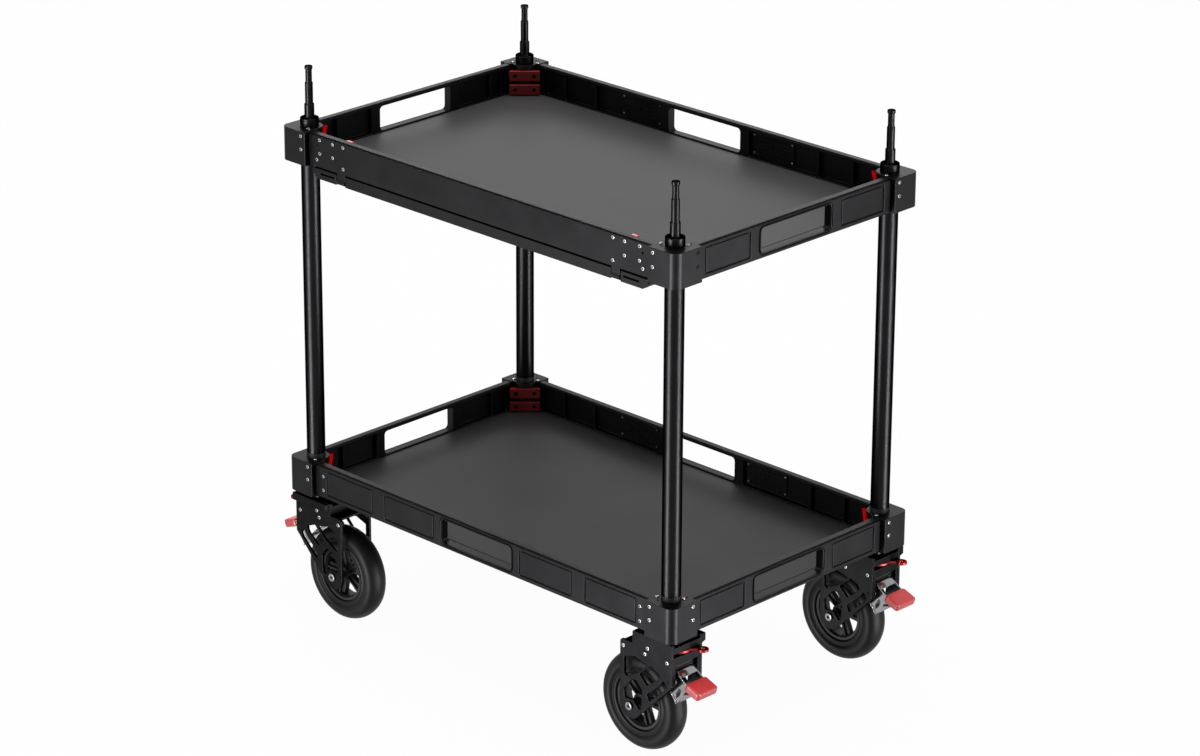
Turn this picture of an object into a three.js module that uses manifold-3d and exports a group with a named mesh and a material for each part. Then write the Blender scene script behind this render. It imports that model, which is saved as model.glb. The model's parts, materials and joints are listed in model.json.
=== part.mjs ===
// Two-deck camera cart: four tubular posts, framed trays, a drop-down front gate on the upper tray,
// stepped accessory pins, and four braked swivel casters. Millimetres, +Z up, floor at z = 0.
// X runs along the long side, -Y is the front, and the origin is on the floor under the middle.

import * as THREE from 'three';
import { mergeVertices } from 'three/addons/utils/BufferGeometryUtils.js';
import Module from 'manifold-3d';

const wasm = await Module();
wasm.setup();

// Clearances, and how near two vertices lie that count as one
const fitGap = 0.3;
const sideGap = 0.5;
const cutOverrun = 2;
const mergeTolerance = 1e-4;

// Posts
const postSpacingX = 1000;
const postSpacingY = 600;
const postRadius = 19;
const postWall = 2;

// Trays: heights of the corner blocks and of the rails between them
const deckSpacing = 708.8;
const cornerSkirt = 2.9;
const cornerOverhang = 41;
const cornerReach = 30.5;
const cornerEdgeRadius = 17;
const lobeWall = 7.5;
const cornerRoof = 6;
const cornerFloor = 4.3;

// Rails
const railInset = 11;
const railThickness = 18;
const railHeight = 69;
const railDrop = 1.3;
const lipSetback = 2;
const lipHeight = 2.4;
const outerPocketDepth = 3;
const innerPocketDepth = 11;
const pocketMargin = 8;
const ribWidth = 6;
const slotHalfLength = 98;
const slotRim = 1;
const slotCornerRadius = 8;
const slotFrame = 5;
const slotFrameDepth = 1.7;
const slotLand = 24;
const endLand = 14;

// Outer pockets and inner ribs, as shares of the length from the slot's frame to the rail's end
const longPocketShares = [[0.049, 0.44], [0.538, 0.912]];
const shortPocketShares = [[0.144, 0.885]];
const longRibShares = [0.552, 0.797];
const shortRibShares = [0.662];

// Shelves
const shelfThickness = 6;
const shelfLift = 0.3;

// Drop-down front gate, its sill, hinge and latches
const gateLift = 3.2;
const gateWeb = 7;
const gateRibShares = [0.26, 0.65];
const sillHeight = 21.5;
const sillDepth = 46;
const sillInset = 10.5;
const sillCorner = 12;
const lugInset = 86.2;
const lugWidth = 32;
const lugThickness = 8;
const lugRise = 12;
const lugNoseRadius = 7.5;
const hingePinRadius = 3;
const hingePinClearance = 0.4;
const notchSideGap = 1;
const notchDepth = 16;
const latchBoxInset = 22.7;
const latchBoxWidth = 48;
const latchBoxHeight = 36;
const latchBoxDepth = 17;
const latchAxisDepth = 13;
const latchBoltRadius = 4;
const latchTabWidth = 15;
const latchTabReach = 36;
const latchTabHeight = 34.6;

// Accessory plates on the inner side of the upper back rail
const plateWidth = 111;
const plateGap = 3;
const plateThickness = 2.5;
const plateSideGap = 2.5;
const plateCorner = 5;
const plateHoleRadius = 4;

// Stepped accessory pins, from the collar up: height of each step and its radius
const collarRadius = 19;
const collarHeight = 17;
const pinBaseRadius = 10;
const pinBaseHeight = 28;
const pinShaftRadius = 8;
const pinShaftHeight = 44.7;
const pinNeckRadius = 6.5;
const pinNeckHeight = 27.1;
const pinHeadHeight = 6.6;
const pinChamfer = 1.5;
const pinDimpleRadius = 4;
const pinDimpleDepth = 2;

// Casters
const wheelRadius = 100;
const wheelWidth = 50;
const tyreDepth = 42;
const tyreShoulder = 11;
const tyreStep = 3;
const rimWall = 9;
const rimWidth = 40;
const hubBossRadius = 16;
const hubWeb = 10;
const spokeCount = 5;
const spokeWidth = 13;
const axleRadius = 6;
const axleHeadRadius = 9;
const axleHeadHeight = 5;
const axleClearance = 0.4;
const spacerGap = 1;
const swivelInset = 12;
const swivelGap = 6;
const crownRoom = 60;
const trail = 65;
const sideRoom = 11;
const yokeWall = 6;
const tyreRoom = 9;
const yokeTopPlate = 8;
const yokeRearStep = 26;
const yokeStepPlace = 60;
const lugRadius = 27;
const noseShare = 0.45;
const frontColumn = 6;
const lockSlotTop = 20;
const lockSlotHeight = 8;
const lockFloor = 6;
const lockFloorDepth = 39;
const windowTop = 45;
const headPlateThickness = 3.5;
const headPlateReach = 38;
const headPlateOuter = 30;
const headPlateCorner = 8;
const kingpinRadius = 8;
const kingpinClearance = 0.4;
const kingpinHeadRadius = 13;
const kingpinHead = 6;
const bearingRadius = 22;

// Brake pedal and its boot, from the pedal pin
const pedalPinInset = 9;
const pedalPinRise = 11;
const pedalPinRadius = 3;
const pedalPinClearance = 0.4;
const pedalHubRadius = 8;
const pedalArmPlace = 21.5;
const pedalArmThickness = 3;
const pedalReach = 38;
const pedalRise = 12;
const pedalFall = -9;
const shoeWidth = 52;
const shoeThickness = 3;
const shoeTopAngle = 29.5;
const shoeTopRoom = 5.7;
const shoeFootAngle = 17.8;
const shoeFootRoom = 11.3;
const bootWidth = 54;
const bootLength = 38;
const bootThickness = 14;
const bootCorner = 4;
const bootTilt = 20;
const bootGrip = 9;

// Swivel lock lever
const lockPivotGap = 3;
const lockPivotRadius = 4;
const lockThickness = 5.4;
const lockSectorRadius = 26;
const lockSectorAngle = 85;
const lockRingReach = 48.5;
const lockRingAngle = 33;
const lockRingRadius = 11;
const lockRingHole = 5;
const lockArmWidth = 9;

// Number of straight edges in the round stretches
const fineSides = 24;
const roundSides = 16;
const pinSides = 12;
const smallSides = 10;
const edgeArcSides = 3;
const lugArcSides = 5;
const cornerArcSides = 2;

// Finishes
function finish(color, roughness, metalness) {
  return new THREE.MeshStandardMaterial({ color, roughness, metalness });
}

const blackAnodised = finish('#232425', 0.45, 0.7);
const blackTube = finish('#1b1b1c', 0.3, 0.8);
const shelfCoat = finish('#3a3a3b', 0.6, 0.2);
const blackSteel = finish('#242526', 0.5, 0.5);
const tyreRubber = finish('#1d1d1e', 0.85, 0);
const redPlastic = finish('#d8343a', 0.4, 0);
const redAnodised = finish('#a01c24', 0.35, 0.8);
const brightSteel = finish('#c9cbcd', 0.25, 1);

// Heights worked out from the floor up
const axleHeight = wheelRadius;
const rimRadius = wheelRadius - tyreDepth;
const yokeTop = axleHeight + wheelRadius + crownRoom;
const lowerCornerBottom = yokeTop + swivelGap;
const lowerCornerTop = lowerCornerBottom + cornerSkirt + railHeight + railDrop;
const upperCornerTop = lowerCornerTop + deckSpacing;
const upperCornerBottom = upperCornerTop - railDrop - railHeight + fitGap;
const postX = postSpacingX / 2;
const postY = postSpacingY / 2;
const lobeRadius = postRadius + lobeWall;
const railOuter = cornerOverhang - railInset;
const railInner = railOuter - railThickness;
const longRailEnd = postX - cornerReach - fitGap;
const shortRailEnd = postY - cornerReach - fitGap;

// Solids from three.js geometry
function toSolid(geometry) {
  geometry.deleteAttribute('normal');
  geometry.deleteAttribute('uv');
  const merged = mergeVertices(geometry, mergeTolerance);
  const mesh = new wasm.Mesh({
    numProp: 3,
    vertProperties: new Float32Array(merged.attributes.position.array),
    triVerts: new Uint32Array(merged.index.array),
  });
  return new wasm.Manifold(mesh);
}

function toGeometry(solid) {
  const mesh = solid.getMesh();
  const geometry = new THREE.BufferGeometry();
  geometry.setAttribute('position', new THREE.BufferAttribute(new Float32Array(mesh.vertProperties), 3));
  geometry.setIndex(new THREE.BufferAttribute(new Uint32Array(mesh.triVerts), 1));
  geometry.computeVertexNormals();
  return geometry;
}

// A box between two corners
function box(low, high) {
  const size = high.map((value, i) => value - low[i]);
  const geometry = new THREE.BoxGeometry(...size);
  geometry.translate(...low.map((value, i) => value + size[i] / 2));
  return toSolid(geometry);
}

// An outline in the XY plane, carried up from z = low to z = high
function uprightPrism(outline, low, high, sides = cornerArcSides) {
  const geometry = new THREE.ExtrudeGeometry(outline, {
    depth: high - low,
    bevelEnabled: false,
    curveSegments: sides,
  });
  geometry.translate(0, 0, low);
  return toSolid(geometry);
}

// An outline drawn in the XZ plane, carried along Y from y = low to y = high
function sidePrism(outline, low, high, sides = cornerArcSides) {
  const geometry = new THREE.ExtrudeGeometry(outline, {
    depth: high - low,
    bevelEnabled: false,
    curveSegments: sides,
  });
  geometry.rotateX(Math.PI / 2);
  geometry.translate(0, high, 0);
  return toSolid(geometry);
}

// A cylinder along one axis between two places on it
function cylinder(axis, radius, low, high, centre, sides = roundSides) {
  const geometry = new THREE.CylinderGeometry(radius, radius, high - low, sides);
  if (axis === 'x') geometry.rotateZ(-Math.PI / 2);
  if (axis === 'z') geometry.rotateX(Math.PI / 2);
  const middle = { x: centre.x ?? 0, y: centre.y ?? 0, z: centre.z ?? 0 };
  middle[axis] = (low + high) / 2;
  geometry.translate(middle.x, middle.y, middle.z);
  return toSolid(geometry);
}

// A profile of [radius, height] points turned about the Z axis
function turned(profile, sides = roundSides) {
  const points = profile.map(([radius, height]) => new THREE.Vector2(radius, height));
  const geometry = new THREE.LatheGeometry(points, sides);
  geometry.rotateX(Math.PI / 2);
  return toSolid(geometry);
}

function polygon(points) {
  return new THREE.Shape(points.map(([x, y]) => new THREE.Vector2(x, y)));
}

function roundedRectangle(x0, y0, x1, y1, radius) {
  const outline = new THREE.Shape();
  outline.moveTo(x0 + radius, y0);
  outline.lineTo(x1 - radius, y0);
  outline.absarc(x1 - radius, y0 + radius, radius, -Math.PI / 2, 0, false);
  outline.absarc(x1 - radius, y1 - radius, radius, 0, Math.PI / 2, false);
  outline.absarc(x0 + radius, y1 - radius, radius, Math.PI / 2, Math.PI, false);
  outline.absarc(x0 + radius, y0 + radius, radius, Math.PI, 1.5 * Math.PI, false);
  return outline;
}

function joined(...solids) {
  return solids.reduce((whole, solid) => whole.add(solid));
}

// Two distances from the middle, put on one side of it (-1 or 1) and given from low to high
function spanOn(side, near, far) {
  return side > 0 ? [near, far] : [-far, -near];
}

// Corner block: two arms for the rails, with the outer edge rounded, and a round lobe about the post.
// It is drawn for the corner at +X, +Y, with the post axis at the origin.
function cornerBody(bottom, top) {
  const arm = railInner;
  const outline = new THREE.Shape();
  outline.moveTo(-cornerReach, arm);
  outline.lineTo(arm, arm);
  outline.lineTo(arm, -cornerReach);
  outline.lineTo(cornerOverhang, -cornerReach);
  const turn = cornerOverhang - cornerEdgeRadius;
  outline.lineTo(cornerOverhang, turn);
  outline.absarc(turn, turn, cornerEdgeRadius, 0, Math.PI / 2, false);
  outline.lineTo(-cornerReach, cornerOverhang);
  outline.closePath();
  const lobe = cylinder('z', lobeRadius, bottom, top, {}, roundSides);
  return uprightPrism(outline, bottom, top, edgeArcSides).add(lobe);
}

function upperCorner() {
  const bore = cylinder(
    'z', postRadius + fitGap, upperCornerBottom - cutOverrun, upperCornerTop - cornerRoof, {}, fineSides);
  return cornerBody(upperCornerBottom, upperCornerTop).subtract(bore);
}

// The lower block also carries the caster's head plate, bearing face and kingpin.
function lowerCorner() {
  const bore = cylinder(
    'z', postRadius + fitGap, lowerCornerBottom + cornerFloor, lowerCornerTop + cutOverrun, {}, fineSides);
  const plate = uprightPrism(
    roundedRectangle(-headPlateReach, -headPlateReach, headPlateOuter, headPlateOuter, headPlateCorner),
    lowerCornerBottom - headPlateThickness, lowerCornerBottom + fitGap);
  const axis = { x: -swivelInset, y: -swivelInset };
  const bearing = cylinder('z', bearingRadius, yokeTop + fitGap, lowerCornerBottom, axis);
  const neckBottom = yokeTop - yokeTopPlate - kingpinHead;
  const kingpin = cylinder('z', kingpinRadius, neckBottom, lowerCornerBottom, axis, smallSides);
  const head = cylinder(
    'z', kingpinHeadRadius, neckBottom, yokeTop - yokeTopPlate - fitGap, axis, smallSides);
  return joined(cornerBody(lowerCornerBottom, lowerCornerTop).subtract(bore), plate, bearing, kingpin, head);
}

// Rail along X at the back (+Y), lying against y = 0 with its outer face at y = railThickness,
// from z = 0 to z = railHeight. halfLength is its half length.
function railBar(halfLength, height) {
  const bar = box([-halfLength, 0, 0], [halfLength, railThickness, height]);
  const lip = box(
    [-halfLength - cutOverrun, railThickness - lipSetback, height - lipHeight],
    [halfLength + cutOverrun, railThickness + cutOverrun, height + cutOverrun]);
  return bar.subtract(lip);
}

function mirroredSpans(spans) {
  return spans.flatMap(([low, high]) => [[low, high], [-high, -low]]);
}

// Hollows on the inner side, between ribs given by their middle, from start to the end land
function innerHollows(start, ribs, halfLength) {
  const edges = [start];
  for (const rib of ribs) edges.push(rib - ribWidth / 2, rib + ribWidth / 2);
  edges.push(halfLength - endLand);
  const spans = [];
  for (let i = 0; i < edges.length; i += 2) spans.push([edges[i], edges[i + 1]]);
  return mirroredSpans(spans);
}

function cutHollows(bar, spans, low, high, from, to) {
  return spans.reduce(
    (solid, [x0, x1]) => solid.subtract(box([x0, from, low], [x1, to, high])), bar);
}

function slottedRail(halfLength, pocketShares, ribShares) {
  const low = pocketMargin;
  const high = railHeight - pocketMargin;
  const frameEnd = slotHalfLength + slotFrame;
  const along = (share) => frameEnd + share * (halfLength - frameEnd);
  const pockets = pocketShares.map((span) => span.map(along));
  let rail = railBar(halfLength, railHeight);
  rail = cutHollows(rail, mirroredSpans(pockets), low, high,
    railThickness - outerPocketDepth, railThickness + cutOverrun);
  const start = slotHalfLength + slotLand;
  const hollows = innerHollows(start, ribShares.map(along), halfLength);
  rail = cutHollows(rail, hollows, low, high, -cutOverrun, innerPocketDepth);
  const slot = roundedRectangle(
    -slotHalfLength, low + slotRim, slotHalfLength, high - slotRim, slotCornerRadius);
  rail = rail.subtract(sidePrism(slot, -cutOverrun, railThickness + cutOverrun));
  const recess = roundedRectangle(
    -frameEnd, low, frameEnd, high, slotCornerRadius);
  return rail.subtract(sidePrism(recess, railThickness - slotFrameDepth, railThickness + cutOverrun));
}

// Heights of the hinge and of the gate, relative to the upper rails
const railTop = upperCornerTop - railDrop;
const railBottom = railTop - railHeight;
const gateHeight = railHeight - gateLift;
const gateBottom = railTop - gateHeight;
const sillTop = railBottom - fitGap;
const sillBottom = sillTop - sillHeight;
const hingeHeight = sillBottom + lugNoseRadius;
const gateFace = postY + railOuter;
const hingePlace = -(gateFace - lugThickness / 2);
const gateHalfLength = longRailEnd - sideGap;
const gateFloor = railThickness - gateWeb;
const lugPlace = gateHalfLength - lugInset;
const latchHeight = gateHeight - pocketMargin - latchBoxHeight / 2;
const latchAxis = { y: gateFloor - latchAxisDepth / 2, z: latchHeight };
const latchBoxOuter = gateHalfLength - latchBoxInset;
const latchBoxInner = latchBoxOuter - latchBoxWidth;

// Hinge lug below the gate: an arm that ends in a nose about the hinge pin, cut flush with both faces
function gateLug(side) {
  const [x0, x1] = spanOn(side, lugPlace - lugWidth / 2, lugPlace + lugWidth / 2);
  const drop = gateBottom - hingeHeight;
  const hinge = { y: railThickness - lugThickness / 2, z: -drop };
  const nose = cylinder('x', lugNoseRadius, x0, x1, hinge, roundSides);
  const slab = box(
    [x0 - cutOverrun, railThickness - lugThickness, -drop - 2 * lugNoseRadius],
    [x1 + cutOverrun, railThickness, -drop + 2 * lugNoseRadius]);
  const arm = box([x0, railThickness - lugThickness, -drop], [x1, railThickness, lugRise]);
  const eye = cylinder(
    'x', hingePinRadius + hingePinClearance, x0 - cutOverrun, x1 + cutOverrun, hinge, smallSides);
  return { lug: nose.intersect(slab).add(arm), eye };
}

// Box inside the gate's end that guides the latch bolt, and the bore for the bolt
function latchGuide(side) {
  const [x0, x1] = spanOn(side, latchBoxInner, latchBoxOuter);
  const block = box(
    [x0, gateFloor - latchBoxDepth, latchHeight - latchBoxHeight / 2],
    [x1, gateFloor + fitGap, latchHeight + latchBoxHeight / 2]);
  const ends = spanOn(side, latchBoxInner - cutOverrun, gateHalfLength + cutOverrun);
  const bore = cylinder('x', latchBoltRadius + fitGap, ends[0], ends[1], latchAxis, smallSides);
  return { block, bore };
}

// Gate drawn as the rails are, with a flat outer face, hinge lugs below and a latch guide at each end
function gateSolid() {
  const ribs = gateRibShares.map((share) => share * gateHalfLength);
  const spans = innerHollows(ribWidth / 2, ribs, gateHalfLength);
  let gate = cutHollows(
    railBar(gateHalfLength, gateHeight), spans,
    pocketMargin, gateHeight - pocketMargin, -cutOverrun, gateFloor);
  for (const side of [-1, 1]) {
    const { lug, eye } = gateLug(side);
    const { block, bore } = latchGuide(side);
    gate = joined(gate, lug, block).subtract(eye).subtract(bore);
  }
  return gate;
}

// Latch of one gate end: a sliding bolt with a thumb tab, drawn in the gate's own frame
function latchSolid(side) {
  const tabOuter = latchBoxInner - fitGap;
  const tabInner = tabOuter - latchTabWidth;
  const [boltLow, boltHigh] = spanOn(side, tabInner, gateHalfLength - fitGap);
  const bolt = cylinder('x', latchBoltRadius, boltLow, boltHigh, latchAxis, smallSides);
  const [tabLow, tabHigh] = spanOn(side, tabInner, tabOuter);
  const tab = box(
    [tabLow, gateFloor - latchTabReach, latchHeight - latchTabHeight / 2],
    [tabHigh, gateFloor - fitGap, latchHeight + latchTabHeight / 2]);
  return bolt.add(tab);
}

// Sill under the gate, with a notch and a hinge pin for each lug
function sillSolid() {
  const half = postX - cornerReach - sillInset;
  const outline = polygon([
    [-half + sillCorner, sillBottom],
    [half - sillCorner, sillBottom],
    [half, sillBottom + sillCorner],
    [half, sillTop],
    [-half, sillTop],
    [-half, sillBottom + sillCorner],
  ]);
  let sill = sidePrism(outline, -gateFace, -gateFace + sillDepth);
  for (const side of [-1, 1]) {
    const notchHalf = lugWidth / 2 + notchSideGap;
    const [x0, x1] = spanOn(side, lugPlace - notchHalf, lugPlace + notchHalf);
    const notch = box(
      [x0, -gateFace - cutOverrun, sillBottom - cutOverrun],
      [x1, -gateFace + notchDepth, sillTop + cutOverrun]);
    const hinge = { y: hingePlace, z: hingeHeight };
    const pin = cylinder(
      'x', hingePinRadius, x0 - notchSideGap, x1 + notchSideGap, hinge, smallSides);
    sill = sill.subtract(notch).add(pin);
  }
  return sill;
}

// Shelf panel between the rails, with a round clearance for each corner lobe
function shelfSolid(bottom) {
  const x = postX + railInner - sideGap;
  const y = postY + railInner - sideGap;
  let shelf = box([-x, -y, bottom], [x, y, bottom + shelfThickness]);
  for (const sx of [-1, 1]) {
    for (const sy of [-1, 1]) {
      const clearance = cylinder(
        'z', lobeRadius + sideGap, bottom - cutOverrun, bottom + shelfThickness + cutOverrun,
        { x: sx * postX, y: sy * postY }, roundSides);
      const ends = box(
        [sx > 0 ? longRailEnd : -x - cutOverrun, sy > 0 ? postY : -y - cutOverrun, bottom - cutOverrun],
        [sx > 0 ? x + cutOverrun : -longRailEnd, sy > 0 ? y + cutOverrun : -postY,
          bottom + shelfThickness + cutOverrun]);
      const sides = box(
        [sx > 0 ? postX : -x - cutOverrun, sy > 0 ? shortRailEnd : -y - cutOverrun, bottom - cutOverrun],
        [sx > 0 ? x + cutOverrun : -postX, sy > 0 ? y + cutOverrun : -shortRailEnd,
          bottom + shelfThickness + cutOverrun]);
      shelf = shelf.subtract(clearance).subtract(ends).subtract(sides);
    }
  }
  return shelf;
}

function postSolid() {
  const bottom = lowerCornerBottom + cornerFloor + fitGap;
  const top = upperCornerTop - cornerRoof - fitGap;
  const outside = cylinder('z', postRadius, bottom, top, {}, fineSides);
  const inside = cylinder(
    'z', postRadius - postWall, bottom - cutOverrun, top + cutOverrun, {}, fineSides);
  return outside.subtract(inside);
}

// Stepped pin on a collar, standing on the corner block
function pinSolid() {
  const foot = upperCornerTop + fitGap;
  const collarTop = foot + collarHeight;
  const baseTop = collarTop + pinBaseHeight;
  const shaftTop = baseTop + pinShaftHeight;
  const neckTop = shaftTop + pinNeckHeight;
  const headTop = neckTop + pinHeadHeight;
  return turned([
    [0, foot],
    [collarRadius - pinChamfer, foot],
    [collarRadius, foot + pinChamfer],
    [collarRadius, collarTop - pinChamfer],
    [collarRadius - pinChamfer, collarTop],
    [pinBaseRadius, collarTop],
    [pinBaseRadius, baseTop - pinChamfer],
    [pinShaftRadius, baseTop],
    [pinShaftRadius, shaftTop - pinChamfer],
    [pinNeckRadius, shaftTop],
    [pinNeckRadius, neckTop - pinChamfer],
    [pinShaftRadius, neckTop],
    [pinShaftRadius, headTop - pinChamfer],
    [pinShaftRadius - pinChamfer, headTop],
    [pinDimpleRadius, headTop],
    [0, headTop - pinDimpleDepth],
  ], pinSides);
}

const platePlace = slotHalfLength + slotLand + plateSideGap + plateWidth / 2;

function accessoryPlate() {
  const low = pocketMargin + plateGap;
  const outline = roundedRectangle(
    -plateWidth / 2, low, plateWidth / 2, railHeight - low, plateCorner);
  const back = innerPocketDepth - fitGap;
  const front = back - plateThickness;
  const hole = cylinder(
    'y', plateHoleRadius, front - cutOverrun, back + cutOverrun, { z: railHeight / 2 }, smallSides);
  return sidePrism(outline, front, back).subtract(hole);
}

// Caster pieces. The swivel axis is at the origin, the outer side is +X and the wheel trails towards -X.
const yokeInside = wheelWidth / 2 + sideRoom;
const yokeOutside = yokeInside + yokeWall;
const yokeFront = wheelRadius + tyreRoom - trail;
const wheelPlace = -trail;
const noseHeight = axleHeight + noseShare * (yokeTop - axleHeight);
const pedalPin = { x: yokeFront - pedalPinInset, z: noseHeight + pedalPinRise };
const lockPivotPlace = kingpinHeadRadius + lockPivotGap + lockPivotRadius;

// Truss openings of the side plate: shares of the plate's length from the rear edge to the front edge,
// and of the height from the axle to the top.
const trussShares = [
  [[0.08, 0.4], [0.12, 0.37], [0.375, 0.49], [0.53, 0.625], [0.29, 0.675], [0.08, 0.62]],
  [[0.375, 0.467], [0.52, 0.35], [0.725, 0.487], [0.777, 0.56], [0.585, 0.628]],
  [[0.52, 0.236], [0.565, 0.157], [0.855, 0.378], [0.895, 0.44], [0.845, 0.516], [0.765, 0.42]],
  [[0.083, 0.2], [0.1, 0.078], [0.255, 0.089], [0.365, -0.005], [0.415, 0.01],
    [0.43, 0.266], [0.32, 0.37], [0.235, 0.357]],
];

function sidePlateOutline() {
  const rear = wheelPlace - lugRadius;
  const outline = new THREE.Shape();
  outline.moveTo(yokeFront, yokeTop);
  outline.lineTo(-yokeStepPlace, yokeTop);
  outline.lineTo(-yokeStepPlace, yokeTop - yokeRearStep);
  outline.lineTo(rear, yokeTop - yokeRearStep);
  outline.lineTo(rear, axleHeight);
  // Round the axle's lug and leave it on the tangent that runs to the nose
  const reachX = yokeFront - wheelPlace;
  const reachZ = noseHeight - axleHeight;
  const leave = Math.atan2(reachZ, reachX) - Math.acos(lugRadius / Math.hypot(reachX, reachZ));
  outline.absarc(wheelPlace, axleHeight, lugRadius, Math.PI, 2 * Math.PI + leave, false);
  outline.lineTo(yokeFront, noseHeight);
  outline.closePath();
  const length = yokeFront - rear;
  const height = yokeTop - axleHeight;
  for (const opening of trussShares) {
    const points = opening.map(([x, z]) => [rear + x * length, axleHeight + z * height]);
    outline.holes.push(polygon(points));
  }
  return outline;
}

function yokeSolid() {
  const outline = sidePlateOutline();
  const left = sidePrism(outline, -yokeOutside, -yokeInside, lugArcSides);
  const right = sidePrism(outline, yokeInside, yokeOutside, lugArcSides);
  const top = box(
    [-yokeStepPlace, -yokeOutside, yokeTop - yokeTopPlate], [yokeFront, yokeOutside, yokeTop]);
  const face = box(
    [yokeFront - yokeWall, -yokeOutside, yokeTop - windowTop], [yokeFront, yokeOutside, yokeTop]);
  const columns = [-1, 1].map((side) => {
    const [y0, y1] = spanOn(side, yokeInside - frontColumn, yokeOutside);
    return box([yokeFront - yokeWall, y0, noseHeight], [yokeFront, y1, yokeTop - windowTop]);
  });
  const rearWall = box(
    [-yokeStepPlace, -yokeOutside, yokeTop - yokeRearStep],
    [-yokeStepPlace + yokeWall, yokeOutside, yokeTop]);
  const slotTop = yokeTop - lockSlotTop;
  const slotBottom = slotTop - lockSlotHeight;
  const floor = box(
    [yokeFront - lockFloorDepth, -yokeOutside, slotBottom - lockFloor], [yokeFront, yokeOutside, slotBottom]);
  const slot = box(
    [yokeFront - yokeWall - cutOverrun, -yokeInside, slotBottom],
    [yokeFront + cutOverrun, yokeOutside + cutOverrun, slotTop]);
  const lockPost = cylinder(
    'z', lockPivotRadius, slotBottom - lockFloor, yokeTop - yokeTopPlate / 2,
    { x: lockPivotPlace }, smallSides);
  const kingpinBore = cylinder(
    'z', kingpinRadius + kingpinClearance, yokeTop - 2 * yokeTopPlate, yokeTop + cutOverrun, {});
  const axleBore = cylinder(
    'y', axleRadius + axleClearance, -yokeOutside - cutOverrun, yokeOutside + cutOverrun,
    { x: wheelPlace, z: axleHeight }, smallSides);
  const pedalBore = cylinder(
    'y', pedalPinRadius + pedalPinClearance, -yokeOutside - cutOverrun, yokeOutside + cutOverrun,
    pedalPin, smallSides);
  return joined(left, right, top, face, ...columns, rearWall, floor)
    .subtract(slot)
    .add(lockPost)
    .subtract(kingpinBore)
    .subtract(axleBore)
    .subtract(pedalBore);
}

// Turned solids stand on the Z axis; this lays them along Y at the axle.
function aboutAxle(solid) {
  return solid.rotate([90, 0, 0]).translate([wheelPlace, 0, axleHeight]);
}

function tyreSolid() {
  const half = wheelWidth / 2;
  const shoulder = wheelRadius - tyreShoulder;
  const wall = (wheelRadius + rimRadius) / 2;
  const bead = rimRadius + tyreShoulder;
  const right = [
    [rimRadius, half - 2 * tyreStep],
    [bead, half - tyreStep],
    [wall, half],
    [shoulder, half - tyreStep],
    [wheelRadius - tyreStep, half - tyreShoulder],
    [wheelRadius, half - 2 * tyreShoulder],
  ];
  const left = right.map(([radius, width]) => [radius, -width]).reverse();
  const loop = [...left, ...right, left[0]];
  return aboutAxle(turned(loop.reverse(), fineSides));
}

function hubSolid() {
  const outer = rimRadius - fitGap;
  const inner = outer - rimWall;
  const half = rimWidth / 2;
  const rim = cylinder('z', outer, -half, half, {}, fineSides)
    .subtract(cylinder('z', inner, -half - cutOverrun, half + cutOverrun, {}, fineSides));
  const bossHalf = yokeInside - spacerGap;
  const boss = cylinder('z', hubBossRadius, -bossHalf, bossHalf, {});
  let hub = rim.add(boss);
  for (let i = 0; i < spokeCount; i += 1) {
    const spoke = box(
      [0, -spokeWidth / 2, -hubWeb / 2], [inner + rimWall / 2, spokeWidth / 2, hubWeb / 2]);
    hub = hub.add(spoke.rotate([0, 0, (360 / spokeCount) * i]));
  }
  const bore = cylinder(
    'z', axleRadius + axleClearance, -bossHalf - cutOverrun, bossHalf + cutOverrun, {}, smallSides);
  return aboutAxle(hub.subtract(bore));
}

function axleSolid() {
  const end = yokeOutside + fitGap;
  const head = end + axleHeadHeight;
  return aboutAxle(turned([
    [0, -head],
    [axleHeadRadius, -head],
    [axleHeadRadius, -end],
    [axleRadius, -end],
    [axleRadius, end],
    [axleHeadRadius, end],
    [axleHeadRadius, head],
    [0, head],
  ], smallSides));
}

// A flat strip between two places in the XZ plane
function strip(from, to, thickness, low, high) {
  const along = new THREE.Vector2(to.x - from.x, to.z - from.z).setLength(thickness / 2);
  const across = [-along.y, along.x];
  const outline = polygon([
    [from.x + across[0], from.z + across[1]],
    [from.x - across[0], from.z - across[1]],
    [to.x - across[0], to.z - across[1]],
    [to.x + across[0], to.z + across[1]],
  ]);
  return sidePrism(outline, low, high);
}

// A place in front of the tyre: its angle above the axle's level and its distance from the tread
function beforeTyre(angle, room) {
  const turn = THREE.MathUtils.degToRad(angle);
  const reach = wheelRadius + room;
  return { x: wheelPlace + reach * Math.cos(turn), z: axleHeight + reach * Math.sin(turn) };
}

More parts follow.
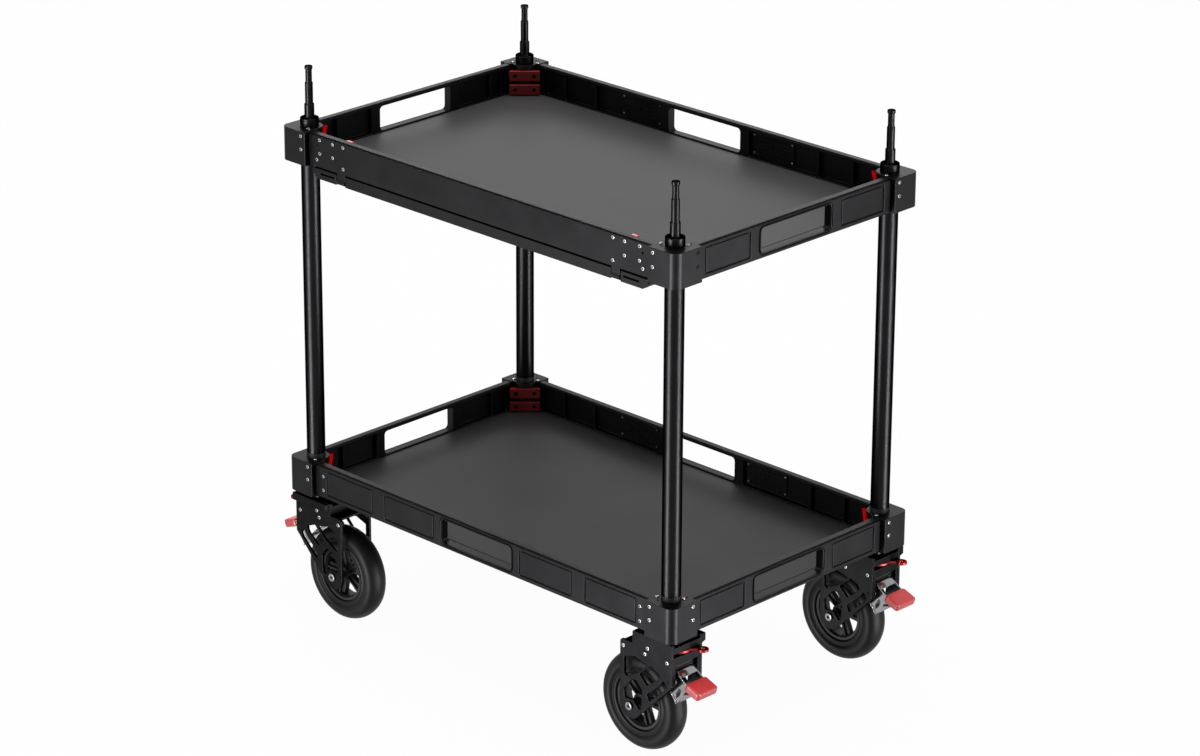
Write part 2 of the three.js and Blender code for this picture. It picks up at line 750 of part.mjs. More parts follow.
// Pressed-steel pedal: a pin, two arms out to the boot, a web over them and a shoe in front of the tyre
function pedalSolid() {
  const { x, z } = pedalPin;
  const tip = { x: x + pedalReach, z: z + pedalFall };
  const rise = { x: x + pedalHubRadius, z: z + pedalRise };
  const shoeTop = beforeTyre(shoeTopAngle, shoeTopRoom);
  const shoeFoot = beforeTyre(shoeFootAngle, shoeFootRoom);
  const pin = cylinder('y', pedalPinRadius, -yokeOutside, yokeOutside, pedalPin, smallSides);
  const armOutline = polygon([
    [x - pedalHubRadius, z],
    [shoeTop.x - shoeThickness, shoeTop.z],
    [shoeFoot.x, shoeFoot.z],
    [shoeFoot.x + pedalHubRadius, (z + shoeFoot.z) / 2],
    [tip.x, tip.z - shoeThickness],
    [tip.x, tip.z + shoeThickness],
    [rise.x, rise.z],
    [x - pedalHubRadius / 2, z + pedalHubRadius],
  ]);
  const arms = [-1, 1].map((side) => {
    const [y0, y1] = spanOn(side, pedalArmPlace, pedalArmPlace + pedalArmThickness);
    return sidePrism(armOutline, y0, y1);
  });
  const inside = pedalArmPlace + pedalArmThickness / 2;
  const web = strip(rise, tip, pedalArmThickness, -inside, inside);
  const shoe = strip(shoeTop, shoeFoot, shoeThickness, -shoeWidth / 2, shoeWidth / 2);
  const boot = bootShape(fitGap);
  return joined(pin, ...arms, web, shoe).subtract(boot);
}

// The boot's block, grown by a margin, slipped over the pedal's outer end and tilted downwards
function bootShape(margin) {
  const outline = roundedRectangle(
    -margin, -bootThickness / 2 - margin, bootLength + margin, bootThickness / 2 + margin, bootCorner);
  const block = sidePrism(outline, -bootWidth / 2 - margin, bootWidth / 2 + margin);
  const x = pedalPin.x + pedalReach - bootGrip;
  const z = pedalPin.z + pedalFall + pedalRise / 4;
  return block.rotate([0, bootTilt, 0]).translate([x, 0, z]);
}

// Lever of the swivel lock, seen from above: a sector about its pivot, an arm and a finger ring
function lockSolid() {
  const top = yokeTop - lockSlotTop - fitGap;
  const bottom = top - lockThickness;
  const ring = THREE.MathUtils.degToRad(lockRingAngle);
  const sweep = THREE.MathUtils.degToRad(lockSectorAngle);
  const sector = new THREE.Shape();
  sector.moveTo(lockPivotPlace, 0);
  sector.absarc(lockPivotPlace, 0, lockSectorRadius, ring - sweep, ring, false);
  sector.closePath();
  const ringX = lockPivotPlace + lockRingReach * Math.cos(ring);
  const ringY = lockRingReach * Math.sin(ring);
  const sideX = (lockArmWidth / 2) * Math.sin(ring);
  const sideY = (lockArmWidth / 2) * Math.cos(ring);
  const arm = polygon([
    [lockPivotPlace + sideX, -sideY],
    [ringX + sideX, ringY - sideY],
    [ringX - sideX, ringY + sideY],
    [lockPivotPlace - sideX, sideY],
  ]);
  const pivotCentre = { x: lockPivotPlace };
  const ringCentre = { x: ringX, y: ringY };
  const eye = cylinder('z', 2 * lockPivotRadius, bottom, top, pivotCentre, smallSides);
  const loop = cylinder('z', lockRingRadius, bottom, top, ringCentre);
  const hole = cylinder('z', lockRingHole, bottom - cutOverrun, top + cutOverrun, ringCentre, smallSides);
  const pivot = cylinder(
    'z', lockPivotRadius + fitGap, bottom - cutOverrun, top + cutOverrun, pivotCentre, smallSides);
  return joined(uprightPrism(sector, bottom, top, edgeArcSides), uprightPrism(arm, bottom, top), eye, loop)
    .subtract(hole)
    .subtract(pivot);
}

// Assembly
const cart = new THREE.Group();

function addMesh(parent, name, solid, material) {
  const mesh = new THREE.Mesh(toGeometry(solid), material);
  mesh.name = name;
  parent.add(mesh);
  return mesh;
}

// One corner's pieces are turned to their corner; a diagonal mirror of the block is the block itself.
const corners = [
  { name: 'back_right', sx: 1, sy: 1, turn: 0 },
  { name: 'back_left', sx: -1, sy: 1, turn: Math.PI / 2 },
  { name: 'front_left', sx: -1, sy: -1, turn: Math.PI },
  { name: 'front_right', sx: 1, sy: -1, turn: -Math.PI / 2 },
];

for (const { name, sx, sy, turn } of corners) {
  const corner = new THREE.Group();
  corner.position.set(sx * postX, sy * postY, 0);
  corner.rotation.z = turn;
  addMesh(corner, `upper_corner_${name}`, upperCorner(), blackAnodised);
  addMesh(corner, `lower_corner_${name}`, lowerCorner(), blackAnodised);
  addMesh(corner, `post_${name}`, postSolid(), blackTube);
  addMesh(corner, `accessory_pin_${name}`, pinSolid(), blackAnodised);
  cart.add(corner);

  const caster = new THREE.Group();
  caster.position.set(sx * (postX - swivelInset), sy * (postY - swivelInset), 0);
  caster.rotation.z = sx > 0 ? 0 : Math.PI;
  addMesh(caster, `yoke_${name}`, yokeSolid(), blackSteel);
  addMesh(caster, `tyre_${name}`, tyreSolid(), tyreRubber);
  addMesh(caster, `hub_${name}`, hubSolid(), blackSteel);
  addMesh(caster, `axle_${name}`, axleSolid(), brightSteel);
  addMesh(caster, `brake_pedal_${name}`, pedalSolid(), brightSteel);
  addMesh(caster, `pedal_boot_${name}`, bootShape(0), redPlastic);
  addMesh(caster, `swivel_lock_${name}`, lockSolid(), redAnodised);
  cart.add(caster);
}

// Rails of one tray: drawn for the back and turned to their side
function addRail(name, solid, side, bottom) {
  const sides = {
    back: { turn: 0, x: 0, y: postY + railInner },
    left: { turn: Math.PI / 2, x: -(postX + railInner), y: 0 },
    front: { turn: Math.PI, x: 0, y: -(postY + railInner) },
    right: { turn: -Math.PI / 2, x: postX + railInner, y: 0 },
  };
  const { turn, x, y } = sides[side];
  const rail = addMesh(cart, name, solid, blackAnodised);
  rail.position.set(x, y, bottom);
  rail.rotation.z = turn;
  return rail;
}

const lowerRailBottom = lowerCornerTop - railDrop - railHeight;
for (const [tray, bottom] of [['upper', railBottom], ['lower', lowerRailBottom]]) {
  const long = slottedRail(longRailEnd, longPocketShares, longRibShares);
  const short = slottedRail(shortRailEnd, shortPocketShares, shortRibShares);
  addRail(`${tray}_rail_back`, long, 'back', bottom);
  addRail(`${tray}_rail_left`, short, 'left', bottom);
  addRail(`${tray}_rail_right`, short, 'right', bottom);
  if (tray === 'lower') addRail('lower_rail_front', long, 'front', bottom);
  addMesh(cart, `${tray}_shelf`, shelfSolid(bottom + shelfLift), shelfCoat);
}

addRail('front_gate', gateSolid(), 'front', gateBottom);
addRail('gate_latch_left', latchSolid(1), 'front', gateBottom).material = redPlastic;
addRail('gate_latch_right', latchSolid(-1), 'front', gateBottom).material = redPlastic;
addMesh(cart, 'gate_sill', sillSolid(), blackAnodised);

for (const [side, name] of [[-1, 'left'], [1, 'right']]) {
  const plate = addRail(`accessory_plate_${name}`, accessoryPlate(), 'back', railBottom);
  plate.position.x = side * platePlace;
}

export default cart;
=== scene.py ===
# Camera cart: two framed trays on four posts, stepped accessory pins, a drop-down front gate and four
# braked swivel casters. Shapes are worked out in millimetres and written to the meshes in metres.

import json
import math

import bpy
import numpy as np
from mathutils import Euler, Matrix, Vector
from mathutils.geometry import delaunay_2d_cdt


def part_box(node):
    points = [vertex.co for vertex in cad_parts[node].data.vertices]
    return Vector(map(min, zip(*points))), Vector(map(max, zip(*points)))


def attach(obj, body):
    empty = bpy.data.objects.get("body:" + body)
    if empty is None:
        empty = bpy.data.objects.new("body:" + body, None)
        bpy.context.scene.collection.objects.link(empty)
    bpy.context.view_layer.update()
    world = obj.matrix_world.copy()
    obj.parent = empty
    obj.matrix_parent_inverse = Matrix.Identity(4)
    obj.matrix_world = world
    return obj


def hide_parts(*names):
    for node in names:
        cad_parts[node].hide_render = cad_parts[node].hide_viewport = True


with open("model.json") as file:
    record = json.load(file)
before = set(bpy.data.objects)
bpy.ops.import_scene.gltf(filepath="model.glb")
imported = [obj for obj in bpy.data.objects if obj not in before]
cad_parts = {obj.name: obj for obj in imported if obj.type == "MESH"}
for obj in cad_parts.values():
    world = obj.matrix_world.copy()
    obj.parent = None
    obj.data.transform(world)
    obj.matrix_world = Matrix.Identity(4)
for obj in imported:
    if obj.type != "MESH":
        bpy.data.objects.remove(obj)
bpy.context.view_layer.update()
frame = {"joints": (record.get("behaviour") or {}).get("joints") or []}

MM = 0.001
SAME_POINT = 1e-4
UP = np.array([0.0, 0.0, 1.0])
EAST = np.array([1.0, 0.0, 0.0])
NORTH = np.array([0.0, 1.0, 0.0])

# Steps in round stretches: of corners, of small ones, of tight ones, and of the edges of plates
FILLET_STEPS = 5
SMALL_STEPS = 3
TIGHT_STEPS = 2
EDGE_STEPS = 2
FINE_SIDES = 96
SIDES = 48
SMALL_SIDES = 24

# Roundings that several pieces share: of painted shade plates, sheet, plates, bars, soft bars and broad
# edges
SHADE_PLATE_EDGE = 0.05
SHEET_EDGE = 0.5
PLATE_EDGE = 0.6
BAR_EDGE = 0.7
SOFT_EDGE = 0.9
BROAD_EDGE = 1.2

# Gap between parts that fit together, gap between parts that move, and how far a form that stands on
# another reaches into it
FIT_GAP = 0.3
RUNNING_GAP = 0.3
BITE = 0.3

CORNERS = {
    "back_right": {"side": (1, 1), "turn": 0},
    "back_left": {"side": (-1, 1), "turn": 90},
    "front_left": {"side": (-1, -1), "turn": 180},
    "front_right": {"side": (1, -1), "turn": 270},
}


# Points, loops and closed shells

def unit(vectors):
    """Each vector divided by its length."""
    return vectors / np.linalg.norm(vectors, axis=-1, keepdims=True)


def distinct(loop):
    """The loop without points that lie on the one before them."""
    gap = np.linalg.norm(loop - np.roll(loop, 1, 0), axis=1)
    return loop[gap > SAME_POINT]


def arc(centre, radius, start, end, steps=12):
    """Points centre + radius (cos a, sin a), for angles a in degrees from start to end."""
    angle = np.radians(np.linspace(start, end, steps + 1))
    return np.column_stack([centre[0] + radius * np.cos(angle), centre[1] + radius * np.sin(angle)])


def fillet(corners, radii, steps=FILLET_STEPS):
    """A closed loop through corners, each rounded by an arc that touches both of its edges. The arc's
    centre lies on the corner's bisector, at radius / sin(half angle), and its ends at radius / tan(half
    angle) along the edges. Points between follow the turn of one end's spoke to the other's."""
    point = np.asarray(corners, float)
    radius = np.broadcast_to(np.asarray(radii, float), len(point))[:, None]
    back = unit(np.roll(point, 1, 0) - point)
    ahead = unit(np.roll(point, -1, 0) - point)
    half = np.arccos(np.clip((back * ahead).sum(1, keepdims=True), -1, 1)) / 2
    centre = point + unit(back + ahead) * radius / np.sin(half)
    first = point + back * radius / np.tan(half) - centre
    last = point + ahead * radius / np.tan(half) - centre
    turn = (math.pi - 2 * half)[:, None]
    share = np.linspace(0, 1, steps + 1)[None, :, None]
    spokes = np.sin((1 - share) * turn) * first[:, None] + np.sin(share * turn) * last[:, None]
    return distinct((centre[:, None] + spokes / np.sin(turn)).reshape(-1, 2))


def fillet_corner(before, corner, after, radius):
    """The rounded stretch at one corner of a path."""
    return fillet([before, corner, after], [0, radius, 0])[1:-1]


def rectangle(x0, y0, x1, y1, radius, steps=FILLET_STEPS):
    """A rectangle from (x0, y0) to (x1, y1) with rounded corners."""
    return fillet([(x0, y0), (x1, y0), (x1, y1), (x0, y1)], radius, steps)


def circle(centre, radius, sides=SMALL_SIDES):
    """Points of a full circle, each once."""
    return arc(centre, radius, 0, 360, sides)[:-1]


def twice_area(loop):
    """Twice the signed area in a loop: the sum of each point's cross product with the next."""
    ahead = np.roll(loop, -1, 0)
    return (loop[:, 0] * ahead[:, 1] - ahead[:, 0] * loop[:, 1]).sum()


def turned_loop(loop, way):
    """The loop, run so that its signed area has the sign of way: 1 for an outline, -1 for a hole."""
    return loop if twice_area(loop) * way > 0 else loop[::-1]


def inset(loop, distance):
    """Each point moved to its left by distance / (1 + n0.n1) times the sum of its edges' normals."""
    edge = unit(np.roll(loop, -1, 0) - loop)
    normal = np.column_stack([-edge[:, 1], edge[:, 0]])
    before = np.roll(normal, 1, 0)
    return loop + distance * (before + normal) / (1 + (before * normal).sum(1, keepdims=True))


def ring_quads(rings, count):
    """Quads between rings of count points each, which follow one another."""
    k = np.arange(count)
    following = (k + 1) % count
    low = np.arange(rings - 1)[:, None] * count
    quads = np.stack([low + k, low + following, low + count + following, low + count + k], -1)
    return quads.reshape(-1, 4)


def fill(points, loops, facing):
    """Triangles between the first loop and the others: of the Delaunay triangles that keep to the
    loops' edges, those in the first loop alone. They face up for facing 1 and down for -1."""
    order = np.concatenate(loops)
    ends = np.cumsum([len(loop) for loop in loops])
    rings = [list(range(end - len(loop), end)) for end, loop in zip(ends, loops)]
    rings = [ring if twice_area(points[order[ring], :2]) > 0 else ring[::-1] for ring in rings]
    corners = [Vector(point) for point in points[order, :2].tolist()]
    _, _, triangles, source, _, owners = delaunay_2d_cdt(corners, [], rings, 1, SAME_POINT / 10)
    inside = [triangle for triangle, owner in zip(triangles, owners) if owner == [0]]
    chosen = order[np.array([known[0] for known in source])[np.array(inside)]]
    return chosen if facing > 0 else chosen[:, ::-1]


def slab(outline, thickness, through=(), front=(), back=(), rounding=PLATE_EDGE, steps=EDGE_STEPS):
    """A closed plate from z = 0 to z = thickness. Its walls follow the outline and the holes, and a
    quarter circle of the given rounding takes each wall to each face: inset = rounding (1 - sin t),
    depth = rounding (1 - cos t). A pocket is (loop, depth, holes in its floor), cut from the front
    (z = thickness) or from the back, and the same quarter circle leads from its wall to its floor."""
    t = np.radians(np.linspace(0, 90, steps + 1))
    away = rounding * (1 - np.sin(t))
    deep = rounding * (1 - np.cos(t))
    points, faces = [], []
    front_loops, back_loops, floors = [], [], []
    count = 0

    def wall(loop, insets, heights):
        nonlocal count
        rings = [
            np.column_stack([inset(loop, i), np.full(len(loop), h)]) for i, h in zip(insets, heights)]
        start = count
        points.extend(rings)
        faces.append(ring_quads(len(rings), len(loop)) + start)
        count += len(rings) * len(loop)
        return np.arange(start, start + len(loop)), np.arange(count - len(loop), count)

    def full_wall(loop, top):
        return wall(
            loop, np.concatenate([away, away[::-1]]), np.concatenate([deep, top - deep[::-1]]))

    low, high = full_wall(turned_loop(outline, 1), thickness)
    back_loops.append(low)
    front_loops.append(high)
    for loop in through:
        low, high = full_wall(turned_loop(loop, -1), thickness)
        back_loops.append(low)
        front_loops.append(high)
    for loop, depth, holes in front:
        floor = thickness - depth
        low, high = wall(
            turned_loop(loop, -1), np.concatenate([-away, away[::-1]]),
            np.concatenate([floor + deep, thickness - deep[::-1]]))
        front_loops.append(high)
        loops = [low]
        for hole in holes:
            low, high = full_wall(turned_loop(hole, -1), floor)
            back_loops.append(low)
            loops.append(high)
        floors.append((loops, 1))
    for loop, depth, _ in back:
        low, high = wall(
            turned_loop(loop, -1), np.concatenate([away, -away[::-1]]),
            np.concatenate([deep, depth - deep[::-1]]))
        back_loops.append(low)
        floors.append(([high], -1))
    points = np.concatenate(points)
    faces.append(fill(points, front_loops, 1))
    faces.append(fill(points, back_loops, -1))
    faces.extend(fill(points, loops, facing) for loops, facing in floors)
    return points, faces


def turned(profile, sides=SIDES):
    """Profile points (radius, height) turned about Z: (radius cos a, radius sin a, height). Where it
    starts and ends on the axis, fans of triangles close it, and otherwise it closes on itself."""
    profile = np.asarray(profile, float)
    capped = profile[0, 0] < SAME_POINT
    body = profile[1:-1] if capped else np.vstack([profile, profile[:1]])
    angle = np.linspace(0, 2 * math.pi, sides, endpoint=False)
    spokes = np.column_stack([np.cos(angle), np.sin(angle)])
    rings = np.concatenate([
        (body[:, None, :1] * spokes[None]).reshape(-1, 2),
        np.repeat(body[:, 1], sides)[:, None]], 1)
    if not capped:
        quads = ring_quads(len(body), sides) % ((len(body) - 1) * sides)
        return rings[:-sides], [quads]
    return close_ends(rings, sides, profile[0, 1], profile[-1, 1])


def close_ends(rings, sides, bottom, top):
    """Rings joined by quads, with a fan to the middle of the first ring and one to that of the last."""
    count = len(rings)
    k = np.arange(sides)
    following = (k + 1) % sides
    first = np.append(rings[:sides, :2].mean(0), bottom)
    last = np.append(rings[-sides:, :2].mean(0), top)
    points = np.vstack([rings, first, last])
    low_fan = np.column_stack([np.full(sides, count), following, k])
    high_fan = np.column_stack(
        [np.full(sides, count + 1), count - sides + k, count - sides + following])
    return points, [ring_quads(count // sides, sides), low_fan, high_fan]


def rounded_profile(profile, radii):
    """A profile that starts and ends on the axis, with its other corners rounded."""
    return fillet(profile, [0, *radii, 0], SMALL_STEPS)


def rod(radius, start, end, edge):
    """A round bar on z from start to end, with both rims rounded by edge."""
    return turned(rounded_profile([(0, start), (radius, start), (radius, end), (0, end)], [edge, edge]))


def tube(inside, outside, low, high):
    """A round tube on z: a rectangle of radius and height with rounded corners, turned."""
    loop = fillet(
        [(inside, low), (outside, low), (outside, high), (inside, high)], SHEET_EDGE, TIGHT_STEPS)
    return turned(loop, FINE_SIDES)


def put(shell, origin, x_axis=EAST, y_axis=NORTH):
    """The shell with its own axes laid along x_axis, y_axis and their cross product, from origin."""
    points, faces = shell
    x_axis, y_axis = np.asarray(x_axis, float), np.asarray(y_axis, float)
    basis = np.stack([x_axis, y_axis, np.cross(x_axis, y_axis)])
    return points @ basis + np.asarray(origin, float), faces


def moved(shell, x=0, y=0, z=0):
    """The shell moved by x, y and z."""
    return shell[0] + [x, y, z], shell[1]


def spun(shell, degrees, origin=(0, 0, 0)):
    """The shell turned about the upright axis, then moved to origin."""
    turn = math.radians(degrees)
    x_axis = (math.cos(turn), math.sin(turn), 0)
    return put(shell, origin, x_axis, (-math.sin(turn), math.cos(turn), 0))


def along_x(shell, origin):
    """A shell drawn on z, laid with z along +X."""
    return put(shell, origin, NORTH, UP)


def along_y(shell, origin):
    """A shell drawn on z, laid with z along +Y."""
    return put(shell, origin, UP, EAST)


# Materials

def srgb(code):
    """An sRGB hex colour as linear RGBA."""
    value = np.array([int(code[i:i + 2], 16) / 255 for i in (1, 3, 5)])
    linear = np.where(value <= 0.04045, value / 12.92, ((value + 0.055) / 1.055) ** 2.4)
    return (*linear, 1.0)


def add(tree, kind, sockets=None, links=None, **settings):
    """Adds a node with its settings, its sockets' values and the links into it."""
    made = tree.nodes.new(kind)
    for name, value in settings.items():
        setattr(made, name, value)
    for name, value in (sockets or {}).items():
        made.inputs[name].default_value = value
    for name, source in (links or {}).items():
        tree.links.new(source, made.inputs[name])
    return made


def noise(tree, place, size_mm, detail):
    """Cloudy noise whose patches are about size_mm wide."""
    sockets = {"Scale": 1 / (size_mm * MM), "Detail": detail}
    return add(tree, "ShaderNodeTexNoise", sockets, {"Vector": place}).outputs["Fac"]


# Weights of the patches and of the grain in a finish, and the values that their blend runs between
PATCH_WEIGHT = 0.7
GRAIN_WEIGHT = 0.3
BLEND_LOW = 0.3
BLEND_HIGH = 0.7


def surface(name, dark, light, roughness, patch_mm, grain_mm, bump_mm, sockets):
    """A finish whose colour and roughness drift between two values over patches, with a fine grain."""
    material = bpy.data.materials.new(name)
    material.use_nodes = True
    tree = material.node_tree
    tree.nodes.clear()
    place = add(tree, "ShaderNodeTexCoord").outputs["Object"]
    patch = noise(tree, place, patch_mm, 3.0)
    grain = noise(tree, place, grain_mm, 2.0)
    patches = add(tree, "ShaderNodeMath", {1: PATCH_WEIGHT}, {0: patch}, operation="MULTIPLY")
    blend = add(
        tree, "ShaderNodeMath", {1: GRAIN_WEIGHT}, {0: grain, 2: patches.outputs[0]},
        operation="MULTIPLY_ADD").outputs[0]
    colour = add(tree, "ShaderNodeValToRGB", links={"Fac": blend})
    for element, position, code in zip(
            colour.color_ramp.elements, (BLEND_LOW, BLEND_HIGH), (dark, light)):
        element.position = position
        element.color = srgb(code)
    rough = add(
        tree, "ShaderNodeMapRange",
        {"From Min": BLEND_LOW, "From Max": BLEND_HIGH, "To Min": roughness[0],
         "To Max": roughness[1]}, {"Value": blend})
    relief = add(
        tree, "ShaderNodeBump", {"Strength": 1.0, "Distance": bump_mm * MM}, {"Height": grain})
    shader = add(
        tree, "ShaderNodeBsdfPrincipled", sockets,
        {"Base Color": colour.outputs["Color"], "Roughness": rough.outputs["Result"],
         "Normal": relief.outputs["Normal"]})
    add(tree, "ShaderNodeOutputMaterial", links={"Surface": shader.outputs["BSDF"]})
    return material


# Tint of the glancing reflection of dark and red metals, whose coating soaks up what bare metal returns
GREY_RIM = srgb("#dadada")
YOKE_RIM = srgb("#aaaaaa")
DARK_RIM = srgb("#616161")
RED_RIM = srgb("#c45050")

# For each finish: dark and light colour, roughness from and to, width of its patches, of its grain and
# height of its bumps in millimetres, and the shader's other sockets
FINISHES = {
    # Bead-blasted aluminium, anodised black: a dim satin sheen, with a grain just coarse enough to show
    "black_anodised": surface(
        "black_anodised_aluminium", "#1d1d1e", "#212122", (0.37, 0.42), 60, 0.9, 0.02,
        {"Metallic": 1.0, "Specular Tint": GREY_RIM}),
    # Drawn aluminium tube, anodised black: smoother, so lamps show on it as long upright streaks
    "black_tube": surface(
        "black_drawn_tube", "#181819", "#1c1c1d", (0.27, 0.31), 80, 1.2, 0.001,
        {"Metallic": 1.0, "Specular Tint": DARK_RIM}),
    # Aluminium sheet with a fine dark grey powder coat: matt, with an even speckle
    "shelf_coat": surface(
        "powder_coated_sheet", "#3a3a3a", "#404040", (0.55, 0.62), 180, 1.1, 0.03,
        {"IOR": 1.5, "Specular IOR Level": 0.15}),
    # Machined aluminium plate, anodised black: a shade darker than the trays, with fine tool marks
    "yoke_black": surface(
        "black_machined_plate", "#19191a", "#1d1d1e", (0.36, 0.43), 25, 0.7, 0.02,
        {"Metallic": 1.0, "Specular Tint": YOKE_RIM}),
    # Moulded glass-filled nylon: dull black with a faint mottle
    "hub_plastic": surface(
        "glass_filled_nylon", "#0e0e0f", "#131314", (0.5, 0.58), 12, 0.6, 0.02,
        {"IOR": 1.5, "Specular IOR Level": 0.2}),
    # Moulded black rubber: matt, slightly dusty, with a coarse soft grain
    "tyre": surface(
        "moulded_rubber", "#0e0e0f", "#131314", (0.42, 0.5), 20, 0.8, 0.03,
        {"IOR": 1.5, "Specular IOR Level": 0.1}),
    # Dipped red vinyl: a strong even red with a soft wide highlight
    "red_plastic": surface(
        "dipped_red_vinyl", "#ec3338", "#f03b3f", (0.36, 0.42), 15, 0.8, 0.01,
        {"IOR": 1.5, "Coat Weight": 0.15, "Coat Roughness": 0.25}),
    # Aluminium anodised red: deep red metal that brightens along its edges
    "red_anodised": surface(
        "red_anodised_aluminium", "#6e2728", "#7a2c2d", (0.34, 0.4), 20, 0.7, 0.01,
        {"Metallic": 1.0, "Specular Tint": RED_RIM}),
    # Pressed steel, nickel-plated: pale mirror-like metal with faint waviness
    "bright_steel": surface(
        "nickel_plated_steel", "#8a8b8d", "#9a9b9d", (0.1, 0.16), 9, 0.9, 0.02, {"Metallic": 1.0}),
}
# Zinc-plated steel: pale grey metal, a little rougher than nickel
ZINC = surface(
    "zinc_plated_steel", "#8c8e90", "#9a9c9e", (0.28, 0.36), 3, 0.5, 0.01, {"Metallic": 1.0})
# Blackened steel for the heads of the darkest screws; also painted shade, as the dull dark inside of
# sockets and of the gap round each head
OXIDE_AND_SHADE = surface(
    "black_oxide_and_painted_shade", "#0c0c0d", "#121213", (0.5, 0.6), 3, 0.5, 0.01, {"Metallic": 1.0})

SHARP_EDGE = math.radians(50)
NORMAL_WEIGHT = 100


def piece(name, shells, body, slot, nodes=(), material=None):
    """One object from closed shells, in metres, on its body, standing for the CAD nodes it replaces."""
    points, faces, count = [], [], 0
    for shell_points, shell_faces in shells:
        points.append(shell_points)
        for block in shell_faces:
            faces.extend((block + count).tolist())
        count += len(shell_points)
    mesh = bpy.data.meshes.new(name)
    mesh.from_pydata((np.concatenate(points) * MM).tolist(), [], faces)
    mesh.polygons.foreach_set("use_smooth", np.ones(len(mesh.polygons), bool))
    mesh.set_sharp_from_angle(angle=SHARP_EDGE)
    mesh.materials.append(material or FINISHES[slot])
    made = bpy.data.objects.new(name, mesh)
    bpy.context.scene.collection.objects.link(made)
    weighted = made.modifiers.new("weighted_normals", "WEIGHTED_NORMAL")
    weighted.keep_sharp = True
    weighted.weight = NORMAL_WEIGHT
    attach(made, body)
    if nodes:
        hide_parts(*nodes)
    return made


# Socket screws: radius and height of the head, width of its socket over flats, and how far it is proud
SCREWS = {
    "rail_end": (3.6, 1.2, 3.4, 0.25),
    "block": (3.8, 1.2, 3.4, 0.25),
    "block_top": (3.6, 2.2, 3.4, 1.9),
    "clamp": (3.2, 1.2, 3.4, -0.1),
    "plate": (2.2, 0.8, 2.0, 0.25),
    "yoke": (4.0, 1.4, 3.4, 0.6),
    "pedal_pin": (3.2, 0.9, 2.6, 0.25),
}
# Shares of a head's height: its chamfer and its socket's depth
HEAD_CHAMFER = 0.22
SOCKET_DEPTH = 0.85
# Shares of a socket's width and depth: the painted shade plate's width, height and depth of its foot
SOCKET_SHADE_WIDTH = 0.98
SOCKET_SHADE_HEIGHT = 0.8
SOCKET_SHADE_FOOT = 0.9
# The dark ring painted round each head as the shade of the gap there: width, thickness and depth of its
# foot
GAP_SHADE_WIDTH = 1.0
GAP_SHADE_THICKNESS = 0.5
GAP_SHADE_FOOT = 0.45
NEARLY_UPRIGHT = 0.9


def socket_screw(radius, height, key, depth):
    """A socket-head screw standing on z = 0: round rings up to a chamfered rim, then rings of a
    hexagon, whose radius at angle a is half the width over flats / cos(a - nearest flat's angle)."""
    angle = np.linspace(0, 2 * math.pi, SMALL_SIDES, endpoint=False)
    spokes = np.column_stack([np.cos(angle), np.sin(angle)])
    sixth = math.pi / 3
    flat = key / 2 / np.cos((angle + sixth / 2) % sixth - sixth / 2)
    chamfer = height * HEAD_CHAMFER
    full = np.full(SMALL_SIDES, radius)
    radii = [full, full, np.full(SMALL_SIDES, radius - chamfer), flat, flat]
    heights = [0, height - chamfer, height, height, height - depth]
    rings = np.concatenate([
        np.column_stack([spokes * r[:, None], np.full(SMALL_SIDES, z)]) for r, z in zip(radii, heights)])
    return close_ends(rings, SMALL_SIDES, 0, height - depth)


def socket_shade_plate(key, height, depth):
    """A dark hexagonal plate, painted shade inside a screw's socket, which ends just below the socket's
    rim.
    """
    angle = np.linspace(0, 360, 7)[:-1] + 30
    loop = key / 2 / math.cos(math.pi / 6) * SOCKET_SHADE_WIDTH * np.column_stack(
        [np.cos(np.radians(angle)), np.sin(np.radians(angle))])
    plate = slab(loop, depth * SOCKET_SHADE_HEIGHT, rounding=SHADE_PLATE_EDGE, steps=1)
    return moved(plate, z=height - depth * SOCKET_SHADE_FOOT)


def head_axes(outward):
    """Two axes across a screw's own: the first is level, or along X for an upright screw."""
    side = NORTH if abs(outward[2]) > NEARLY_UPRIGHT else UP
    x_axis = unit(np.cross(side, outward))
    return x_axis, np.cross(outward, x_axis)


def screws(name, kind, places, body, dark=False):
    """Screws sunk at places, each (point, outward direction), until their heads are as proud as their
    kind says, with dark plates painted in as the shade inside their sockets and in the gap round each
    head."""
    radius, height, key, proud = SCREWS[kind]
    depth = height * SOCKET_DEPTH
    heads, shade_plates = [], []
    for point, outward in places:
        outward = unit(np.asarray(outward, float))
        axes = head_axes(outward)
        seat = point + outward * (proud - height)
        heads.append(put(socket_screw(radius, height, key, depth), seat, *axes))
        # A dark plate painted in as the shade inside the socket
        shade_plates.append(put(socket_shade_plate(key, height, depth), seat, *axes))
        # A dark disc painted round the head as the shade in the gap round it
        ring = slab(circle((0, 0), radius + GAP_SHADE_WIDTH), GAP_SHADE_THICKNESS, rounding=SHADE_PLATE_EDGE, steps=1)
        shade_plates.append(put(ring, point - outward * GAP_SHADE_FOOT, *axes))
    piece(f"{name}_screws", heads, body, "bright_steel", material=OXIDE_AND_SHADE if dark else ZINC)
    piece(f"{name}_screw_painted_shade", shade_plates, body, "black_anodised", material=OXIDE_AND_SHADE)


def extent(node):
    """Lowest and highest corner of a CAD node, in millimetres."""
    low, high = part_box(node)
    return np.array(low) / MM, np.array(high) / MM


def middle(node):
    """Middle of a CAD node's box, in millimetres."""
    low, high = extent(node)
    return (low + high) / 2


